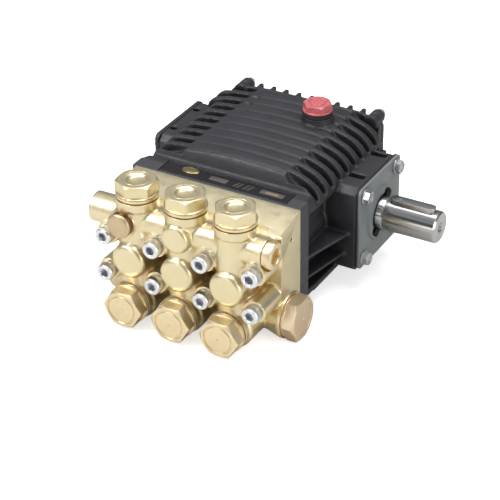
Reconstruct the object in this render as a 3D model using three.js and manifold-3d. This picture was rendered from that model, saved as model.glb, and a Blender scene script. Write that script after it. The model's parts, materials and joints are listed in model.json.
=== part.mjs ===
// Triplex plunger pump for a pressure washer: painted crankcase with a keyed
// output shaft, brass valve manifold with six hexagon valve caps, and the whole
// running gear inside. Millimetres. +X along the shaft, -Y to the manifold,
// +Z up, origin on the flat underside of the crankcase below the crank axis.
import * as THREE from "three";
import Module from "manifold-3d";
import { mergeVertices } from "three/addons/utils/BufferGeometryUtils.js";

const wasm = await Module();
wasm.setup();

// ---- shared dimensions; z is measured from the crank axis -------------------
const CRANK_H = 37; // crank axis above the underside
const UNDERSIDE = -CRANK_H;
const PITCH = 39.1; // cylinder pitch
const CYLINDER_X = [-PITCH, 0, PITCH];
const ON_AXIS = [0, 0];

const HALF_W = 66.5; // half width of crankcase and manifold
const FLANGE_Y = -87.4; // joint face between crankcase and manifold
const FLANGE_T = 12.9;
const FLANGE_REAR = FLANGE_Y + FLANGE_T;
const FLANGE_TOP = 41;
const CASE_REAR = 50;
const HOUSING_X = 82; // bearing housing face
const HOUSING_H = 32.8; // its half height and half depth
const BLIND_TOP = 35.5; // top of the housing on the blind side, -X

const BEARING = { r: 26, bore: 12.7, x0: 62, x1: 77 };
const GUIDE_R = 15;
const PLUNGER_R = 9;

const LABEL = { x0: -50, x1: 54, y0: -85.2, y1: -69.4, z: 40.2, thickness: 0.8, gap: 0.3 };
const OIL_FILLER = [24.5, 18]; // x, y
const REAR_BOSS = { x: 55.4, topZ: 44.8, bottomZ: -27.6, r: 5.4 };
const FACETS = 0.6; // facet density of round surfaces

const rad = (degrees) => (degrees * Math.PI) / 180;
const HEX_TURN = rad(30); // turns a hexagon from corner to flat

// every pairing of the two lists, the first running fastest
const grid = (us, vs) => vs.flatMap((v) => us.map((u) => [u, v]));

const BOLT_Z = 14.8;
const BOLT_X = [-1.5, -0.5, 0.5, 1.5].map((k) => k * PITCH);
const BOLTS = grid(BOLT_X, [BOLT_Z, -BOLT_Z]); // x, z
const SCREW = 25.5; // cover screws, from the shaft axis in y and in z
const SCREWS = grid([-SCREW, SCREW], [SCREW, -SCREW]); // y, z

// ---- solid helpers ----------------------------------------------------------
// Shapes are built along +Z, then their coordinates are permuted. The centre is
// given in the two other axes: x, y for "z"; x, z for "y"; y, z for "x".
const TURN_TO = {
  x: new THREE.Matrix4().set(0, 0, 1, 0, 1, 0, 0, 0, 0, 1, 0, 0, 0, 0, 0, 1),
  y: new THREE.Matrix4().set(1, 0, 0, 0, 0, 0, 1, 0, 0, 1, 0, 0, 0, 0, 0, 1),
  z: new THREE.Matrix4(),
};

function along(axis, geometry) {
  geometry.deleteAttribute("normal");
  geometry.deleteAttribute("uv");
  const merged = mergeVertices(geometry, 1e-4);
  merged.applyMatrix4(TURN_TO[axis]);
  const index = merged.index.array;
  const triangles = [];
  for (let k = 0; k < index.length; k += 3) {
    const [a, b, c] = [index[k], index[k + 1], index[k + 2]];
    if (a === b || b === c || c === a) continue;
    // turning to y mirrors the shape, so its triangles are flipped back
    triangles.push(...(axis === "y" ? [b, a, c] : [a, b, c]));
  }
  return new wasm.Manifold(
    new wasm.Mesh({
      numProp: 3,
      vertProperties: Float32Array.from(merged.attributes.position.array),
      triVerts: Uint32Array.from(triangles),
    }),
  );
}

function box(x0, x1, y0, y1, z0, z1) {
  const geometry = new THREE.BoxGeometry(x1 - x0, y1 - y0, z1 - z0);
  geometry.translate((x0 + x1) / 2, (y0 + y1) / 2, (z0 + z1) / 2);
  return along("z", geometry);
}

const facets = (n) => (n <= 12 ? n : Math.max(12, 2 * Math.round((n * FACETS) / 2)));

// round bar, tapering to endRadius
function bar(axis, centre, radius, from, to, n = 32, endRadius = radius, turn = 0) {
  const length = to - from;
  const geometry = new THREE.CylinderGeometry(
    endRadius, radius, length, facets(n), 1, false, turn,
  );
  geometry.rotateX(Math.PI / 2);
  geometry.translate(centre[0], centre[1], (from + to) / 2);
  return along(axis, geometry);
}

function prism(axis, outline, from, to) {
  const shape = new THREE.Shape(outline.map(([u, v]) => new THREE.Vector2(u, v)));
  const geometry = new THREE.ExtrudeGeometry(shape, { depth: to - from, bevelEnabled: false });
  geometry.translate(0, 0, from);
  return along(axis, geometry);
}

// turned piece: profile is a list of [radius, position along the axis]
function turned(axis, centre, profile, n = 32) {
  const points = profile.map(([r, t]) => new THREE.Vector2(r, t));
  const geometry = new THREE.LatheGeometry(points, facets(n));
  geometry.rotateX(Math.PI / 2);
  geometry.translate(centre[0], centre[1], 0);
  return along(axis, geometry);
}

const join = (...list) => list.flat().reduce((a, b) => a.add(b));
const cut = (body, ...tools) => tools.flat().reduce((a, b) => a.subtract(b), body);

function hexBar(axis, centre, acrossFlats, from, to, turn = 0) {
  const corner = acrossFlats / Math.sqrt(3);
  return bar(axis, centre, corner, from, to, 6, corner, turn);
}

// hexagon with its outer end chamfered to a circle
function hexHead(axis, centre, acrossFlats, from, to, { outerAtLow = false, turn = 0 } = {}) {
  const corner = acrossFlats / Math.sqrt(3);
  const wide = corner + 0.2;
  const narrow = acrossFlats / 2 - 0.2;
  const chamfer = (corner - acrossFlats / 2) * 0.62;
  const profile = outerAtLow
    ? [[0, from], [narrow, from], [wide, from + chamfer + 0.3], [wide, to], [0, to]]
    : [[0, from], [wide, from], [wide, to - chamfer - 0.3], [narrow, to], [0, to]];
  return hexBar(axis, centre, acrossFlats, from, to, turn).intersect(
    turned(axis, centre, profile, 30),
  );
}

const mirrored = (outline) => outline.map(([u, v]) => [-u, v]);
const shifted = (profile, offset) => profile.map(([r, t]) => [r, offset + t]);
// x range on one side of the pump: side 1 is +X, side -1 is -X
const span = (side, near, far) => (side > 0 ? [near, far] : [-far, -near]);

// rectangle with its two low and two high corners cut off
function cutCorners(u0, u1, v0, v1, low, high) {
  return [
    [u0, v0 + low], [u0 + low, v0], [u1 - low, v0], [u1, v0 + low],
    [u1, v1 - high], [u1 - high, v1], [u0 + high, v1], [u0, v1 - high],
  ];
}

// ---- materials and scene ----------------------------------------------------
const MATERIALS = {
  castPaint: { color: 0x47474d, roughness: 0.55, metalness: 0.25 },
  plate: { color: 0x70767a, roughness: 0.42, metalness: 0.6 },
  brassCast: { color: 0xd8c48c, roughness: 0.42, metalness: 0.85 },
  brassTurned: { color: 0xdcc694, roughness: 0.26, metalness: 0.95 },
  zinc: { color: 0xbfc3cc, roughness: 0.3, metalness: 0.9 },
  ground: { color: 0xb9bbbf, roughness: 0.2, metalness: 1 },
  forged: { color: 0x8c8e92, roughness: 0.45, metalness: 0.9 },
  ceramic: { color: 0xf1efe8, roughness: 0.15, metalness: 0 },
  bronze: { color: 0xb58a4a, roughness: 0.35, metalness: 0.9 },
  rubber: { color: 0x1b1b1d, roughness: 0.8, metalness: 0 },
  redPlastic: { color: 0xe2474d, roughness: 0.38, metalness: 0 },
  glass: { color: 0xd9e2e0, roughness: 0.08, metalness: 0 },
  label: { color: 0x202023, roughness: 0.35, metalness: 0.1 },
  polymer: { color: 0xe9e4d4, roughness: 0.5, metalness: 0 },
};

const pump = new THREE.Group();
pump.name = "pressure_washer_pump";
const frame = new THREE.Group(); // origin on the crank axis
frame.position.z = CRANK_H;
pump.add(frame);

function piece(name, body, material) {
  const count = body.decompose().length;
  if (count !== 1) throw new Error(`${name} has ${count} bodies`);
  const { vertProperties, triVerts } = body.getMesh();
  const geometry = new THREE.BufferGeometry();
  const positions = Float32Array.from(vertProperties);
  geometry.setAttribute("position", new THREE.BufferAttribute(positions, 3));
  geometry.setIndex(new THREE.BufferAttribute(Uint32Array.from(triVerts), 1));
  geometry.computeVertexNormals();
  const mesh = new THREE.Mesh(geometry, new THREE.MeshStandardMaterial(MATERIALS[material]));
  mesh.name = name;
  frame.add(mesh);
}

// ---- crankcase --------------------------------------------------------------
const HOOD_Y0 = -66;
const FIN = { pitch: 11.5, count: 10, y0: -61.2, deepW: 5.6, shallowW: 3 };
const POCKET_X = 56.8; // floor of the front side recesses
const CHAMBER_HALF = 52; // half width of the crank chamber

// top of the hood from the middle outwards: x, z
const HOOD_TOP = [
  [0, 52.6], [22, 52.2], [38, 51.2], [48, 49], [56, 46], [61, 42.6], [64.6, 38.6],
  [HALF_W, 33.5],
];
// the blind side carries its shoulder a little higher
const BLIND_HOOD_TOP = [
  [0, 52.6], [22, 52.2], [38, 51.2], [48, 50.1], [56, 48.4], [60.5, 46.4], [64.4, 42.4],
  [HALF_W, 37],
];
// hood seen from the side: y, z
const HOOD_SIDE = [
  [CASE_REAR, UNDERSIDE], [CASE_REAR, 46.4], [CASE_REAR - 4, 50.6], [CASE_REAR - 9, 53.5],
  [-58.5, 53.5], [-62.5, 49.5], [HOOD_Y0, 42], [HOOD_Y0, UNDERSIDE],
];
// shoulder standing out at the rear of the blind side: x, z
const BLIND_SHOULDER = [
  [-54, 30], [-72, 30], [-72, 38.4], [-71, 41], [-68.5, 43.6], [-64, 45.6], [-54, 47],
];
// notch in the rear shoulder of the shaft side: x, y
const REAR_NOTCH = [[61.5, 51], [61.5, 45.5], [63, 44], [70, 44], [70, 51]];
// groove sections between the fins: x, z
const DEEP_GROOVE = [
  [40.5, 60], [40.5, 51], [43, 47.5], [47, 44.6], [52, 41.6], [56, 37.6], [58, 33.6],
  [75, 33.6], [75, 60],
];
const BLIND_DEEP_GROOVE = [
  [40.5, 60], [40.5, 51], [43, 47], [47, 44.4], [53, 42.6], [58, 40.4], [61, 38],
  [62.5, 35.5], [75, 35.5], [75, 60],
];
const SHALLOW_GROOVE = [
  [-44, 62], [-44, 49.4], [-38, 50.5], [-22, 51.5], [0, 51.9], [22, 51.5], [38, 50.5],
  [44, 49.4], [44, 62],
];
// widening of the joint flange on the blind side: x, y
const WIDE_FLANGE = [
  [-60, FLANGE_Y], [-70.4, FLANGE_Y], [-70.4, -76], [-69.4, FLANGE_REAR], [-60, FLANGE_REAR],
];
const WIDE_FLANGE_TOP = [
  [-60, FLANGE_Y + 1], [-69.4, FLANGE_Y + 1], [-69.4, -76], [-68.4, FLANGE_REAR],
  [-60, FLANGE_REAR],
];
const WIDE_FLANGE_REAR = [[-60, -75], [-68.8, -75], [-66.6, -69.6], [-60, -69.6]];

function caseShell() {
  const hoodFront = [
    ...mirrored(BLIND_HOOD_TOP).reverse().slice(0, -1),
    ...HOOD_TOP,
    [HALF_W, UNDERSIDE],
    [-HALF_W, UNDERSIDE],
  ];
  const flangeOutline = (halfWidth, corner) =>
    cutCorners(-halfWidth, halfWidth, UNDERSIDE, FLANGE_TOP, 0, corner);
  const hood = prism("y", hoodFront, HOOD_Y0, CASE_REAR).intersect(
    prism("x", HOOD_SIDE, -HALF_W - 1, HALF_W + 1),
  );
  const body = join(
    hood,
    prism("y", flangeOutline(HALF_W, 2), FLANGE_Y, FLANGE_REAR),
    prism("y", flangeOutline(HALF_W - 0.6, 3), FLANGE_REAR - 1, HOOD_Y0 + 1),
    prism("y", BLIND_SHOULDER, 22.4, 39.6),
  );
  return cut(
    body,
    prism("z", REAR_NOTCH, 22, 60),
    box(-80, 80, HOOD_Y0 - 1.4, HOOD_Y0, 38.6, 60), // seam behind the label strip
    box(LABEL.x0, LABEL.x1, LABEL.y0, LABEL.y1, LABEL.z, 60), // its recess
  );
}

// deep grooves over both shoulders and a shallow one across the top
function finGrooves(i) {
  const y = FIN.y0 + i * FIN.pitch;
  const groove = (outline, width) => prism("y", outline, y - width / 2, y + width / 2);
  return [
    groove(DEEP_GROOVE, FIN.deepW),
    groove(mirrored(BLIND_DEEP_GROOVE), FIN.deepW),
    groove(SHALLOW_GROOVE, FIN.shallowW),
  ];
}

function sideRecesses(side) {
  return [
    box(...span(side, POCKET_X, 70), FLANGE_REAR, -30, -32.5, 29),
    box(...span(side, 59.5, 70), 30, 45.5, -32.5, 31),
  ];
}

function sideWebs(side) {
  return [[-10.6, -8], [-24.6, -22]].map(([z0, z1]) =>
    box(...span(side, POCKET_X - 1, 65.4), FLANGE_REAR - 1, -31, z0, z1));
}

const housingTop = (side) => (side > 0 ? HOUSING_H : BLIND_TOP);

function bearingHousing(side) {
  const bottom = -HOUSING_H - 1.5;
  const outline = cutCorners(-HOUSING_H, HOUSING_H, bottom, housingTop(side), 2, 5);
  return prism("x", outline, ...span(side, 50, HOUSING_X));
}

// core pockets in the top of the housing
function corePockets(side) {
  const { x0, x1, ys, half } = side > 0
    ? { x0: 66.6, x1: 78.4, ys: [-12.5, 23.5], half: 2.9 }
    : { x0: 75.8, x1: 80.8, ys: [-16.6, 16.6], half: 2.2 };
  return ys.map((y) =>
    box(...span(side, x0, x1), y - half, y + half, housingTop(side) - 5.2, 48));
}

// crank chamber, guide bores, bearing bores, shaft and filler holes, tapped holes
function caseBores() {
  return [
    box(-CHAMBER_HALF, CHAMBER_HALF, -29, CASE_REAR + 5, -31, 36),
    ...CYLINDER_X.map((x) => bar("y", [x, 0], GUIDE_R + 0.35, FLANGE_Y - 1, -20, 40)),
    ...[1, -1].map((side) => {
      const range = span(side, BEARING.x0 - 0.2, HOUSING_X + 1);
      return bar("x", ON_AXIS, BEARING.r + 0.2, ...range, 48);
    }),
    bar("x", ON_AXIS, 18.5, -70, 70, 40),
    bar("z", OIL_FILLER, 7.2, 30, 60, 24),
    ...BOLTS.map((at) => bar("y", at, 4.2, FLANGE_Y - 1, -75.6, 16)),
    ...SCREWS.map((at) => bar("x", at, 2.7, 71.5, HOUSING_X + 1, 12)),
  ];
}

function crankcase() {
  let body = caseShell();
  for (let i = 0; i < FIN.count; i++) body = cut(body, finGrooves(i));
  for (const side of [-1, 1]) {
    body = cut(body, sideRecesses(side));
    body = join(body, sideWebs(side), bearingHousing(side));
    body = cut(body, corePockets(side));
  }
  body = join(
    body,
    prism("z", WIDE_FLANGE, UNDERSIDE, FLANGE_TOP - 1),
    prism("z", WIDE_FLANGE_TOP, 30, FLANGE_TOP),
    prism("z", WIDE_FLANGE_REAR, 29, FLANGE_TOP),
    bar("z", OIL_FILLER, 12.4, 44, 56.6, 32, 11.6), // oil filler neck
  );
  body = cut(body, caseBores());
  const rearBosses = [-1, 1].map((side) =>
    bar("y", [side * REAR_BOSS.x, REAR_BOSS.topZ], REAR_BOSS.r, CASE_REAR - 7, CASE_REAR, 24));
  return join(body, rearBosses);
}

// ---- rear cover, sight glass, drain -----------------------------------------
const REAR_COVER = { halfW: 61.5, z0: -34, z1: 44, corner: 6, thickness: 5, bossT: 8 };
const RIB = { pitch: 10.9, halfW: 1.6, height: 7.6 };
const DRAIN = [0, -24]; // x, z
// radius, distance behind the crankcase
const SIGHT_GLASS = [
  [0, 1], [11.9, 1], [11.9, 8], [14.6, 8], [14.6, 10.4], [13.2, 11.4], [9, 11.4],
  [7, 9.6], [0, 9.6],
];

function rearCover() {
  const { halfW, z0, z1, corner, thickness, bossT } = REAR_COVER;
  const outline = cutCorners(-halfW, halfW, z0, z1, corner, corner);
  let body = prism("y", outline, CASE_REAR, CASE_REAR + thickness);
  for (let i = -4; i <= 4; i++) {
    const x = i * RIB.pitch;
    const bottom = Math.abs(i) < 2 ? 17 : -30; // middle ribs stop above the sight glass
    const rearY = CASE_REAR + RIB.height;
    body = join(body, box(x - RIB.halfW, x + RIB.halfW, CASE_REAR, rearY, bottom, 48));
  }
  const bosses = grid([-REAR_BOSS.x, REAR_BOSS.x], [REAR_BOSS.bottomZ, REAR_BOSS.topZ]);
  body = join(
    body,
    bosses.map((at) => bar("y", at, REAR_BOSS.r, CASE_REAR, CASE_REAR + bossT, 24)),
    bar("y", ON_AXIS, 17.5, CASE_REAR + 1, CASE_REAR + bossT, 32),
    bar("y", DRAIN, 9.5, CASE_REAR + 1, CASE_REAR + bossT, 24),
    box(-4, 4, CASE_REAR + 1, CASE_REAR + 7, DRAIN[1], 0),
  );
  return cut(
    body,
    bar("y", ON_AXIS, 12.2, CASE_REAR - 1, CASE_REAR + bossT + 1, 32),
    bar("y", DRAIN, 5.2, CASE_REAR - 1, CASE_REAR + bossT + 1, 20),
  );
}

function drainPlug() {
  return join(
    hexHead("y", DRAIN, 13, CASE_REAR + 9.2, CASE_REAR + 14.5),
    bar("y", DRAIN, 8, CASE_REAR + 8, CASE_REAR + 9.4, 24),
    bar("y", DRAIN, 4.9, CASE_REAR + 1, CASE_REAR + 8.2, 20),
  );
}

// ---- bearing housing covers, seal, bearings ---------------------------------
const PLATE_T = 3.4;
const PLATE_FACE = HOUSING_X + PLATE_T;

// square with each corner cut in two facets
function plateOutline() {
  const h = HOUSING_H;
  const end = h - 5; // where the straight edge ends
  const mid = h - 1.5; // facet joint
  return [
    [-end, -h], [end, -h], [mid, -mid], [h, -end], [h, end], [mid, mid],
    [end, h], [-end, h], [-mid, mid], [-h, end], [-h, -end], [-mid, -mid],
  ];
}

// notch in the collar around the shaft, at an angle in degrees
function collarNotch(angle) {
  const c = Math.cos(rad(angle));
  const s = Math.sin(rad(angle));
  // radial distance, sideways distance
  const outline = [[12, -6.5], [17, -6.5], [18.8, 0], [17, 6.5], [12, 6.5]];
  const placed = outline.map(([r, w]) => [r * c - w * s, r * s + w * c]);
  return prism("x", placed, HOUSING_X + 2, HOUSING_X + 8);
}

function shaftSideCover() {
  return cut(
    join(
      prism("x", plateOutline(), HOUSING_X, PLATE_FACE),
      bar("x", ON_AXIS, 21, HOUSING_X + 1, HOUSING_X + 5.2, 40, 19.6),
    ),
    bar("x", ON_AXIS, 14.4, HOUSING_X - 1, HOUSING_X + 8, 40),
    [52, 232].map(collarNotch),
    SCREWS.map((at) => bar("x", at, 2.8, HOUSING_X - 1, HOUSING_X + 6, 12)),
  );
}

function coverScrew(at) {
  return join(
    hexHead("x", at, 9, PLATE_FACE + 1, PLATE_FACE + 5.2),
    bar("x", at, 5.6, PLATE_FACE, PLATE_FACE + 1.1, 24),
    bar("x", at, 2.4, 72, PLATE_FACE + 0.5, 12),
  );
}

function blindSideCover() {
  const rise = BLIND_TOP - HOUSING_H;
  const outline = plateOutline().map(([y, z]) => [y, z > 0 ? z + rise : z]);
  return join(
    prism("x", outline, -PLATE_FACE, -HOUSING_X),
    bar("x", ON_AXIS, 20, -HOUSING_X - 6, -HOUSING_X - 1, 32),
  );
}

function oilSeal() {
  return cut(
    bar("x", ON_AXIS, 25.8, BEARING.x1 + 0.3, HOUSING_X - 0.1, 40),
    bar("x", ON_AXIS, 12.75, 60, 90, 40),
  );
}

function bearing(side) {
  const [x0, x1] = span(side, BEARING.x0, BEARING.x1);
  return cut(
    bar("x", ON_AXIS, BEARING.r, x0, x1, 48),
    bar("x", ON_AXIS, BEARING.bore, x0 - 1, x1 + 1, 40),
  );
}

// ---- label strip and oil cap ------------------------------------------------
function labelStrip() {
  const { x0, x1, y0, y1, z, thickness, gap } = LABEL;
  return box(x0 + gap, x1 - gap, y0 + gap, y1 - gap, z, z + thickness);
}

function oilCap() {
  const collar = [[0, 56.6], [10.6, 56.6], [10.9, 57.2], [10.6, 58], [0, 58]];
  return join(
    hexHead("z", OIL_FILLER, 19, 57.8, 66.2, { turn: HEX_TURN }),
    turned("z", OIL_FILLER, collar, 30),
    bar("z", OIL_FILLER, 6.7, 46, 57, 24),
    bar("z", OIL_FILLER, 1.2, 11, 47, 8), // dipstick
  );
}

// ---- crankshaft and key -----------------------------------------------------
const THROW = 5; // crank throw, stroke is twice this
const PHASE = [0, 120, 240]; // crankpin angles, degrees
const CRANKPINS = PHASE.map((d) => [THROW * Math.cos(rad(d)), THROW * Math.sin(rad(d))]);
const PIN_R = 11; // crankpin
const PIN_HALF = 8.3; // half the gap between webs
const WEB_R = 17;
const WEB_END = 51.2; // outer faces of the end webs
const JOURNAL_R = 12.4;
const SHAFT_R = 12;
const SHAFT_END = 133.6;
const KEY = { width: 8, x0: 94, x1: 129.5, z0: 8, z1: 15 };

// round-ended key seen from above: x, y
function keyOutline(grow, x0, x1) {
  const r = KEY.width / 2 + grow;
  const points = [];
  const arc = (centreX, start) => {
    for (let a = start; a <= start + 180; a += 18)
      points.push([centreX + r * Math.cos(rad(a)), r * Math.sin(rad(a))]);
  };
  arc(x1 - r, -90);
  arc(x0 + r, 90);
  return points;
}

function crankshaft() {
  const outputEnd = [
    [0, 70], [JOURNAL_R, 70], [JOURNAL_R, 92], [SHAFT_R, 92.4], [SHAFT_R, SHAFT_END - 1.2],
    [SHAFT_R - 1.2, SHAFT_END], [0, SHAFT_END],
  ];
  const webFaces = [
    -WEB_END, ...CYLINDER_X.flatMap((x) => [x - PIN_HALF, x + PIN_HALF]), WEB_END,
  ];
  let body = join(
    bar("x", ON_AXIS, JOURNAL_R, -79.5, 79.5, 40),
    turned("x", ON_AXIS, outputEnd, 48),
    [1, -1].map((side) =>
      bar("x", ON_AXIS, 15.5, ...span(side, WEB_END, BEARING.x0 - 0.2), 32)),
  );
  // the plain bar is removed between the webs, then the throws are added
  body = cut(body, CYLINDER_X.map((x) => box(x - PIN_HALF, x + PIN_HALF, -30, 30, -30, 30)));
  body = join(
    body,
    [0, 2, 4, 6].map((i) => bar("x", ON_AXIS, WEB_R, webFaces[i], webFaces[i + 1], 40)),
    CYLINDER_X.map((x, i) =>
      bar("x", CRANKPINS[i], PIN_R, x - PIN_HALF - 0.5, x + PIN_HALF + 0.5, 36)),
  );
  return cut(
    body,
    prism("z", keyOutline(0.02, KEY.x0, KEY.x1), KEY.z0, 20),
    bar("x", ON_AXIS, 3, SHAFT_END - 7, SHAFT_END + 1, 16),
  );
}

const shaftKey = () =>
  prism("z", keyOutline(-0.02, KEY.x0 + 0.05, KEY.x1 - 0.05), KEY.z0, KEY.z1);

// ---- rods, guides and plungers ----------------------------------------------
// Each rod lies level, so its wrist pin is at crankpin height; guide and bush
// stay on the cylinder axis. wristY is the wrist pin's place along y.
const ROD = 52; // connecting rod length
const WRIST_R = 4.5;
const BUSH = { r: 11, bore: 9.75, x0: 6.8, x1: 10 };
// radius, y from the wrist pin
const GUIDE = [
  [0, -24], [9.5, -24], [9.5, -21], [13.8, -21], [GUIDE_R, -19.5], [GUIDE_R, 15], [0, 15],
];
const PLUNGER = [[0, -70], [7.8, -70], [PLUNGER_R, -68.8], [PLUNGER_R, -24], [0, -24]];

function connectingRod(x, [pinY, z], wristY) {
  const shank = [
    [pinY - 12, z - 8], [pinY - 12, z + 8], [wristY + 5, z + 5.6], [wristY + 5, z - 5.6],
  ];
  return cut(
    join(
      bar("x", [pinY, z], 17.5, x - 8, x + 8, 40),
      bar("x", [wristY, z], 9, x - 6, x + 6, 32),
      prism("x", shank, x - 5, x + 5),
    ),
    bar("x", [pinY, z], PIN_R + 0.3, x - 9, x + 9, 40),
    bar("x", [wristY, z], WRIST_R + 0.2, x - 9, x + 9, 24),
  );
}

function pinBush(x, wristY) {
  return cut(
    bar("x", [wristY, 0], BUSH.r, x + BUSH.x0, x + BUSH.x1, 40),
    bar("x", [wristY, 0], BUSH.bore, x, x + 20, 40),
  );
}

function plungerGuide(x, wristY) {
  return cut(
    turned("y", [x, 0], shifted(GUIDE, wristY), 36),
    box(x - 6.5, x + 6.5, wristY - 12, wristY + 20, -20, 20),
    bar("x", [wristY, 0], BUSH.r + 0.3, x - 20, x + 20, 40),
  );
}

function packingGland(x) {
  return cut(
    bar("y", [x, 0], 15, -101.8, -84, 36),
    bar("y", [x, 0], PLUNGER_R + 0.4, -110, -80, 32),
  );
}

function addCylinder(x, i) {
  const n = i + 1;
  const [pinY, pinZ] = CRANKPINS[i];
  const wristY = pinY - ROD;
  const wristPin = bar("x", [wristY, pinZ], WRIST_R, x - 10.4, x + 10.4, 24);
  piece(`connecting_rod_${n}`, connectingRod(x, CRANKPINS[i], wristY), "forged");
  piece(`wrist_pin_${n}`, wristPin, "ground");
  piece(`pin_bush_${n}`, pinBush(x, wristY), "bronze");
  piece(`plunger_guide_${n}`, plungerGuide(x, wristY), "forged");
  piece(`ceramic_plunger_${n}`, turned("y", [x, 0], shifted(PLUNGER, wristY)), "ceramic");
  piece(`packing_gland_${n}`, packingGland(x), "bronze");
}

// ---- brass manifold ---------------------------------------------------------
const COLUMN_Y = -129; // vertical delivery valve axis
const COLUMN_TOP = 45.4;
const SUCTION_Z = -34.1; // horizontal suction valve axis
const BARREL_R = 15.3;
const BARREL_END = -143.2;
const VALVE_BORE = 12;
const PASSAGE_R = 6.5; // riser and suction port
const DELIVERY_SEAT = 16; // floor of the delivery valve bore, z
const SUCTION_SEAT = -116; // floor of the suction valve bore, y
const BOLT_SEAT = -138.8;
const GALLERY = { centre: [COLUMN_Y, 27.6], r: 11, x0: -73.5, x1: 63.5 };
const INLET = { centre: [-105.5, SUCTION_Z], r: 13.6, portR: 16.8, x: 71.6 };
const GAUGE = { centre: [-43.6, 28.6], face: -143.4 };
// body behind the valves: y, z
const MANIFOLD_SIDE = [
  [FLANGE_Y, UNDERSIDE], [FLANGE_Y, FLANGE_TOP], [FLANGE_Y - 3, FLANGE_TOP], [-113.4, 36.2],
  [-114.4, 35], [-114.4, -35.5], [-113, UNDERSIDE],
];

// boss along y with its front end chamfered
function frontBoss(centre, r, front, back, chamfer) {
  const profile = [[0, front], [r - chamfer, front], [r, front + chamfer], [r, back], [0, back]];
  return turned("y", centre, profile, 28);
}

function cylinderHead(x) {
  return [
    bar("z", [x, COLUMN_Y], 14, -36, 40),
    bar("z", [x, COLUMN_Y], BARREL_R, 39, COLUMN_TOP),
    bar("y", [x, SUCTION_Z], BARREL_R + 1.2, -137.5, -104),
    bar("y", [x, SUCTION_Z], BARREL_R, BARREL_END, -137),
    frontBoss([x, 0], 13, -146.4, -112, 2.6),
    box(x - 11.5, x + 11.5, -128, -113, -30, 34),
  ];
}

// delivery gallery across the top, suction gallery across the bottom
function galleries() {
  const { centre, r, portR, x } = INLET;
  return [
    bar("x", GALLERY.centre, GALLERY.r, GALLERY.x0, GALLERY.x1),
    box(-60, 60, -128, -112, 12, 33),
    bar("x", centre, r, -HALF_W, HALF_W),
    bar("x", centre, r, 54, x - 5.5, 32, portR),
    bar("x", centre, portR, x - 5.5, x - 3),
    bar("x", centre, portR, -x + 3, -56, 32, r),
    bar("x", centre, portR, -x, -x + 3),
  ];
}

function cylinderWaterways(x) {
  return [
    bar("y", [x, 0], 15.2, -102, FLANGE_Y + 1, 36), // gland pocket
    bar("y", [x, 0], 10.6, -134, -100, 28), // plunger chamber
    bar("z", [x, COLUMN_Y], PASSAGE_R, -30, DELIVERY_SEAT + 2, 20), // riser
    bar("z", [x, COLUMN_Y], VALVE_BORE, DELIVERY_SEAT, 60),
    bar("y", [x, SUCTION_Z], VALVE_BORE, -150, SUCTION_SEAT),
    bar("y", [x, SUCTION_Z], PASSAGE_R, SUCTION_SEAT - 1, -104, 20), // suction port
  ];
}

function galleryBores() {
  return [
    bar("x", GALLERY.centre, 7, -90, 90, 24),
    bar("x", GALLERY.centre, 8.4, GALLERY.x1 - 12, 90, 28),
    bar("x", GALLERY.centre, 10.3, GALLERY.x1, 90),
    bar("x", GALLERY.centre, 8.4, -90, GALLERY.x0 + 12, 28),
    bar("x", INLET.centre, 9, -90, 90, 24),
    bar("x", INLET.centre, 12.2, 54, 90, 28),
    bar("x", INLET.centre, 12.2, -90, -54, 28),
  ];
}

function valveManifold() {
  const body = join(
    prism("x", MANIFOLD_SIDE, -HALF_W, HALF_W),
    CYLINDER_X.flatMap(cylinderHead),
    BOLTS.map((at) => bar("y", at, 8.4, BOLT_SEAT, -112, 24)),
    galleries(),
    frontBoss([0, 29], 10.4, -146.6, -120, 1.2),
    bar("y", GAUGE.centre, 10.2, GAUGE.face, -120, 28),
  );
  return cut(
    body,
    CYLINDER_X.flatMap(cylinderWaterways),
    galleryBores(),
    bar("y", GAUGE.centre, 6.4, -150, -131, 20),
    bar("x", [-100, 24], 1.4, 60, 80, 10), // small blind hole in the +X end
    BOLTS.map((at) => bar("y", at, 4.4, -150, -80, 16)),
  );
}

// ---- valves and valve caps --------------------------------------------------
const CAP_AF = 27;
const CAP_PLUG_R = 11.7;
const VALVE_GAP = 0.2; // valve above the floor of its bore
// radius, height above the valve's base
const VALVE = [[0, 0], [8.6, 0], [9, 0.8], [8, 2.4], [4, 3], [3, 10.8], [0, 10.8]];

function deliveryCap(at, turn) {
  const dish = [[0, 55.8], [4.6, 55.8], [7.4, 58.7], [7.4, 60], [0, 60]];
  return cut(
    join(
      hexHead("z", at, CAP_AF, 49.4, 58.6, { turn }),
      bar("z", at, 15.2, 46.4, 49.6),
      bar("z", at, 13, COLUMN_TOP, 47, 28),
      bar("z", at, CAP_PLUG_R, 37.5, 46, 28),
    ),
    turned("z", at, dish, 28),
  );
}

function suctionCap(at) {
  const ring = [[10.2, -158], [11.6, -158], [11.6, -155.6], [10.2, -155.6], [10.2, -158]];
  return cut(
    join(
      hexHead("y", at, CAP_AF, -156.4, -146.8, { outerAtLow: true, turn: HEX_TURN }),
      bar("y", at, 15, -147, -144.4),
      bar("y", at, 13, -146, BARREL_END, 28),
      bar("y", at, CAP_PLUG_R, -144, -139, 28),
    ),
    turned("y", at, ring, 28),
  );
}

function addValves(x, i) {
  const n = i + 1;
  const column = [x, COLUMN_Y];
  const barrel = [x, SUCTION_Z];
  const upward = shifted(VALVE, DELIVERY_SEAT + VALVE_GAP);
  const forward = VALVE.map(([r, t]) => [r, SUCTION_SEAT - VALVE_GAP - t]).reverse();
  piece(`delivery_valve_cap_${n}`, deliveryCap(column, i === 0 ? 0 : HEX_TURN), "brassTurned");
  piece(`suction_valve_cap_${n}`, suctionCap(barrel), "brassTurned");
  piece(`delivery_valve_${n}`, turned("z", column, upward, 24), "polymer");
  piece(`suction_valve_${n}`, turned("y", barrel, forward, 24), "polymer");
}

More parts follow.
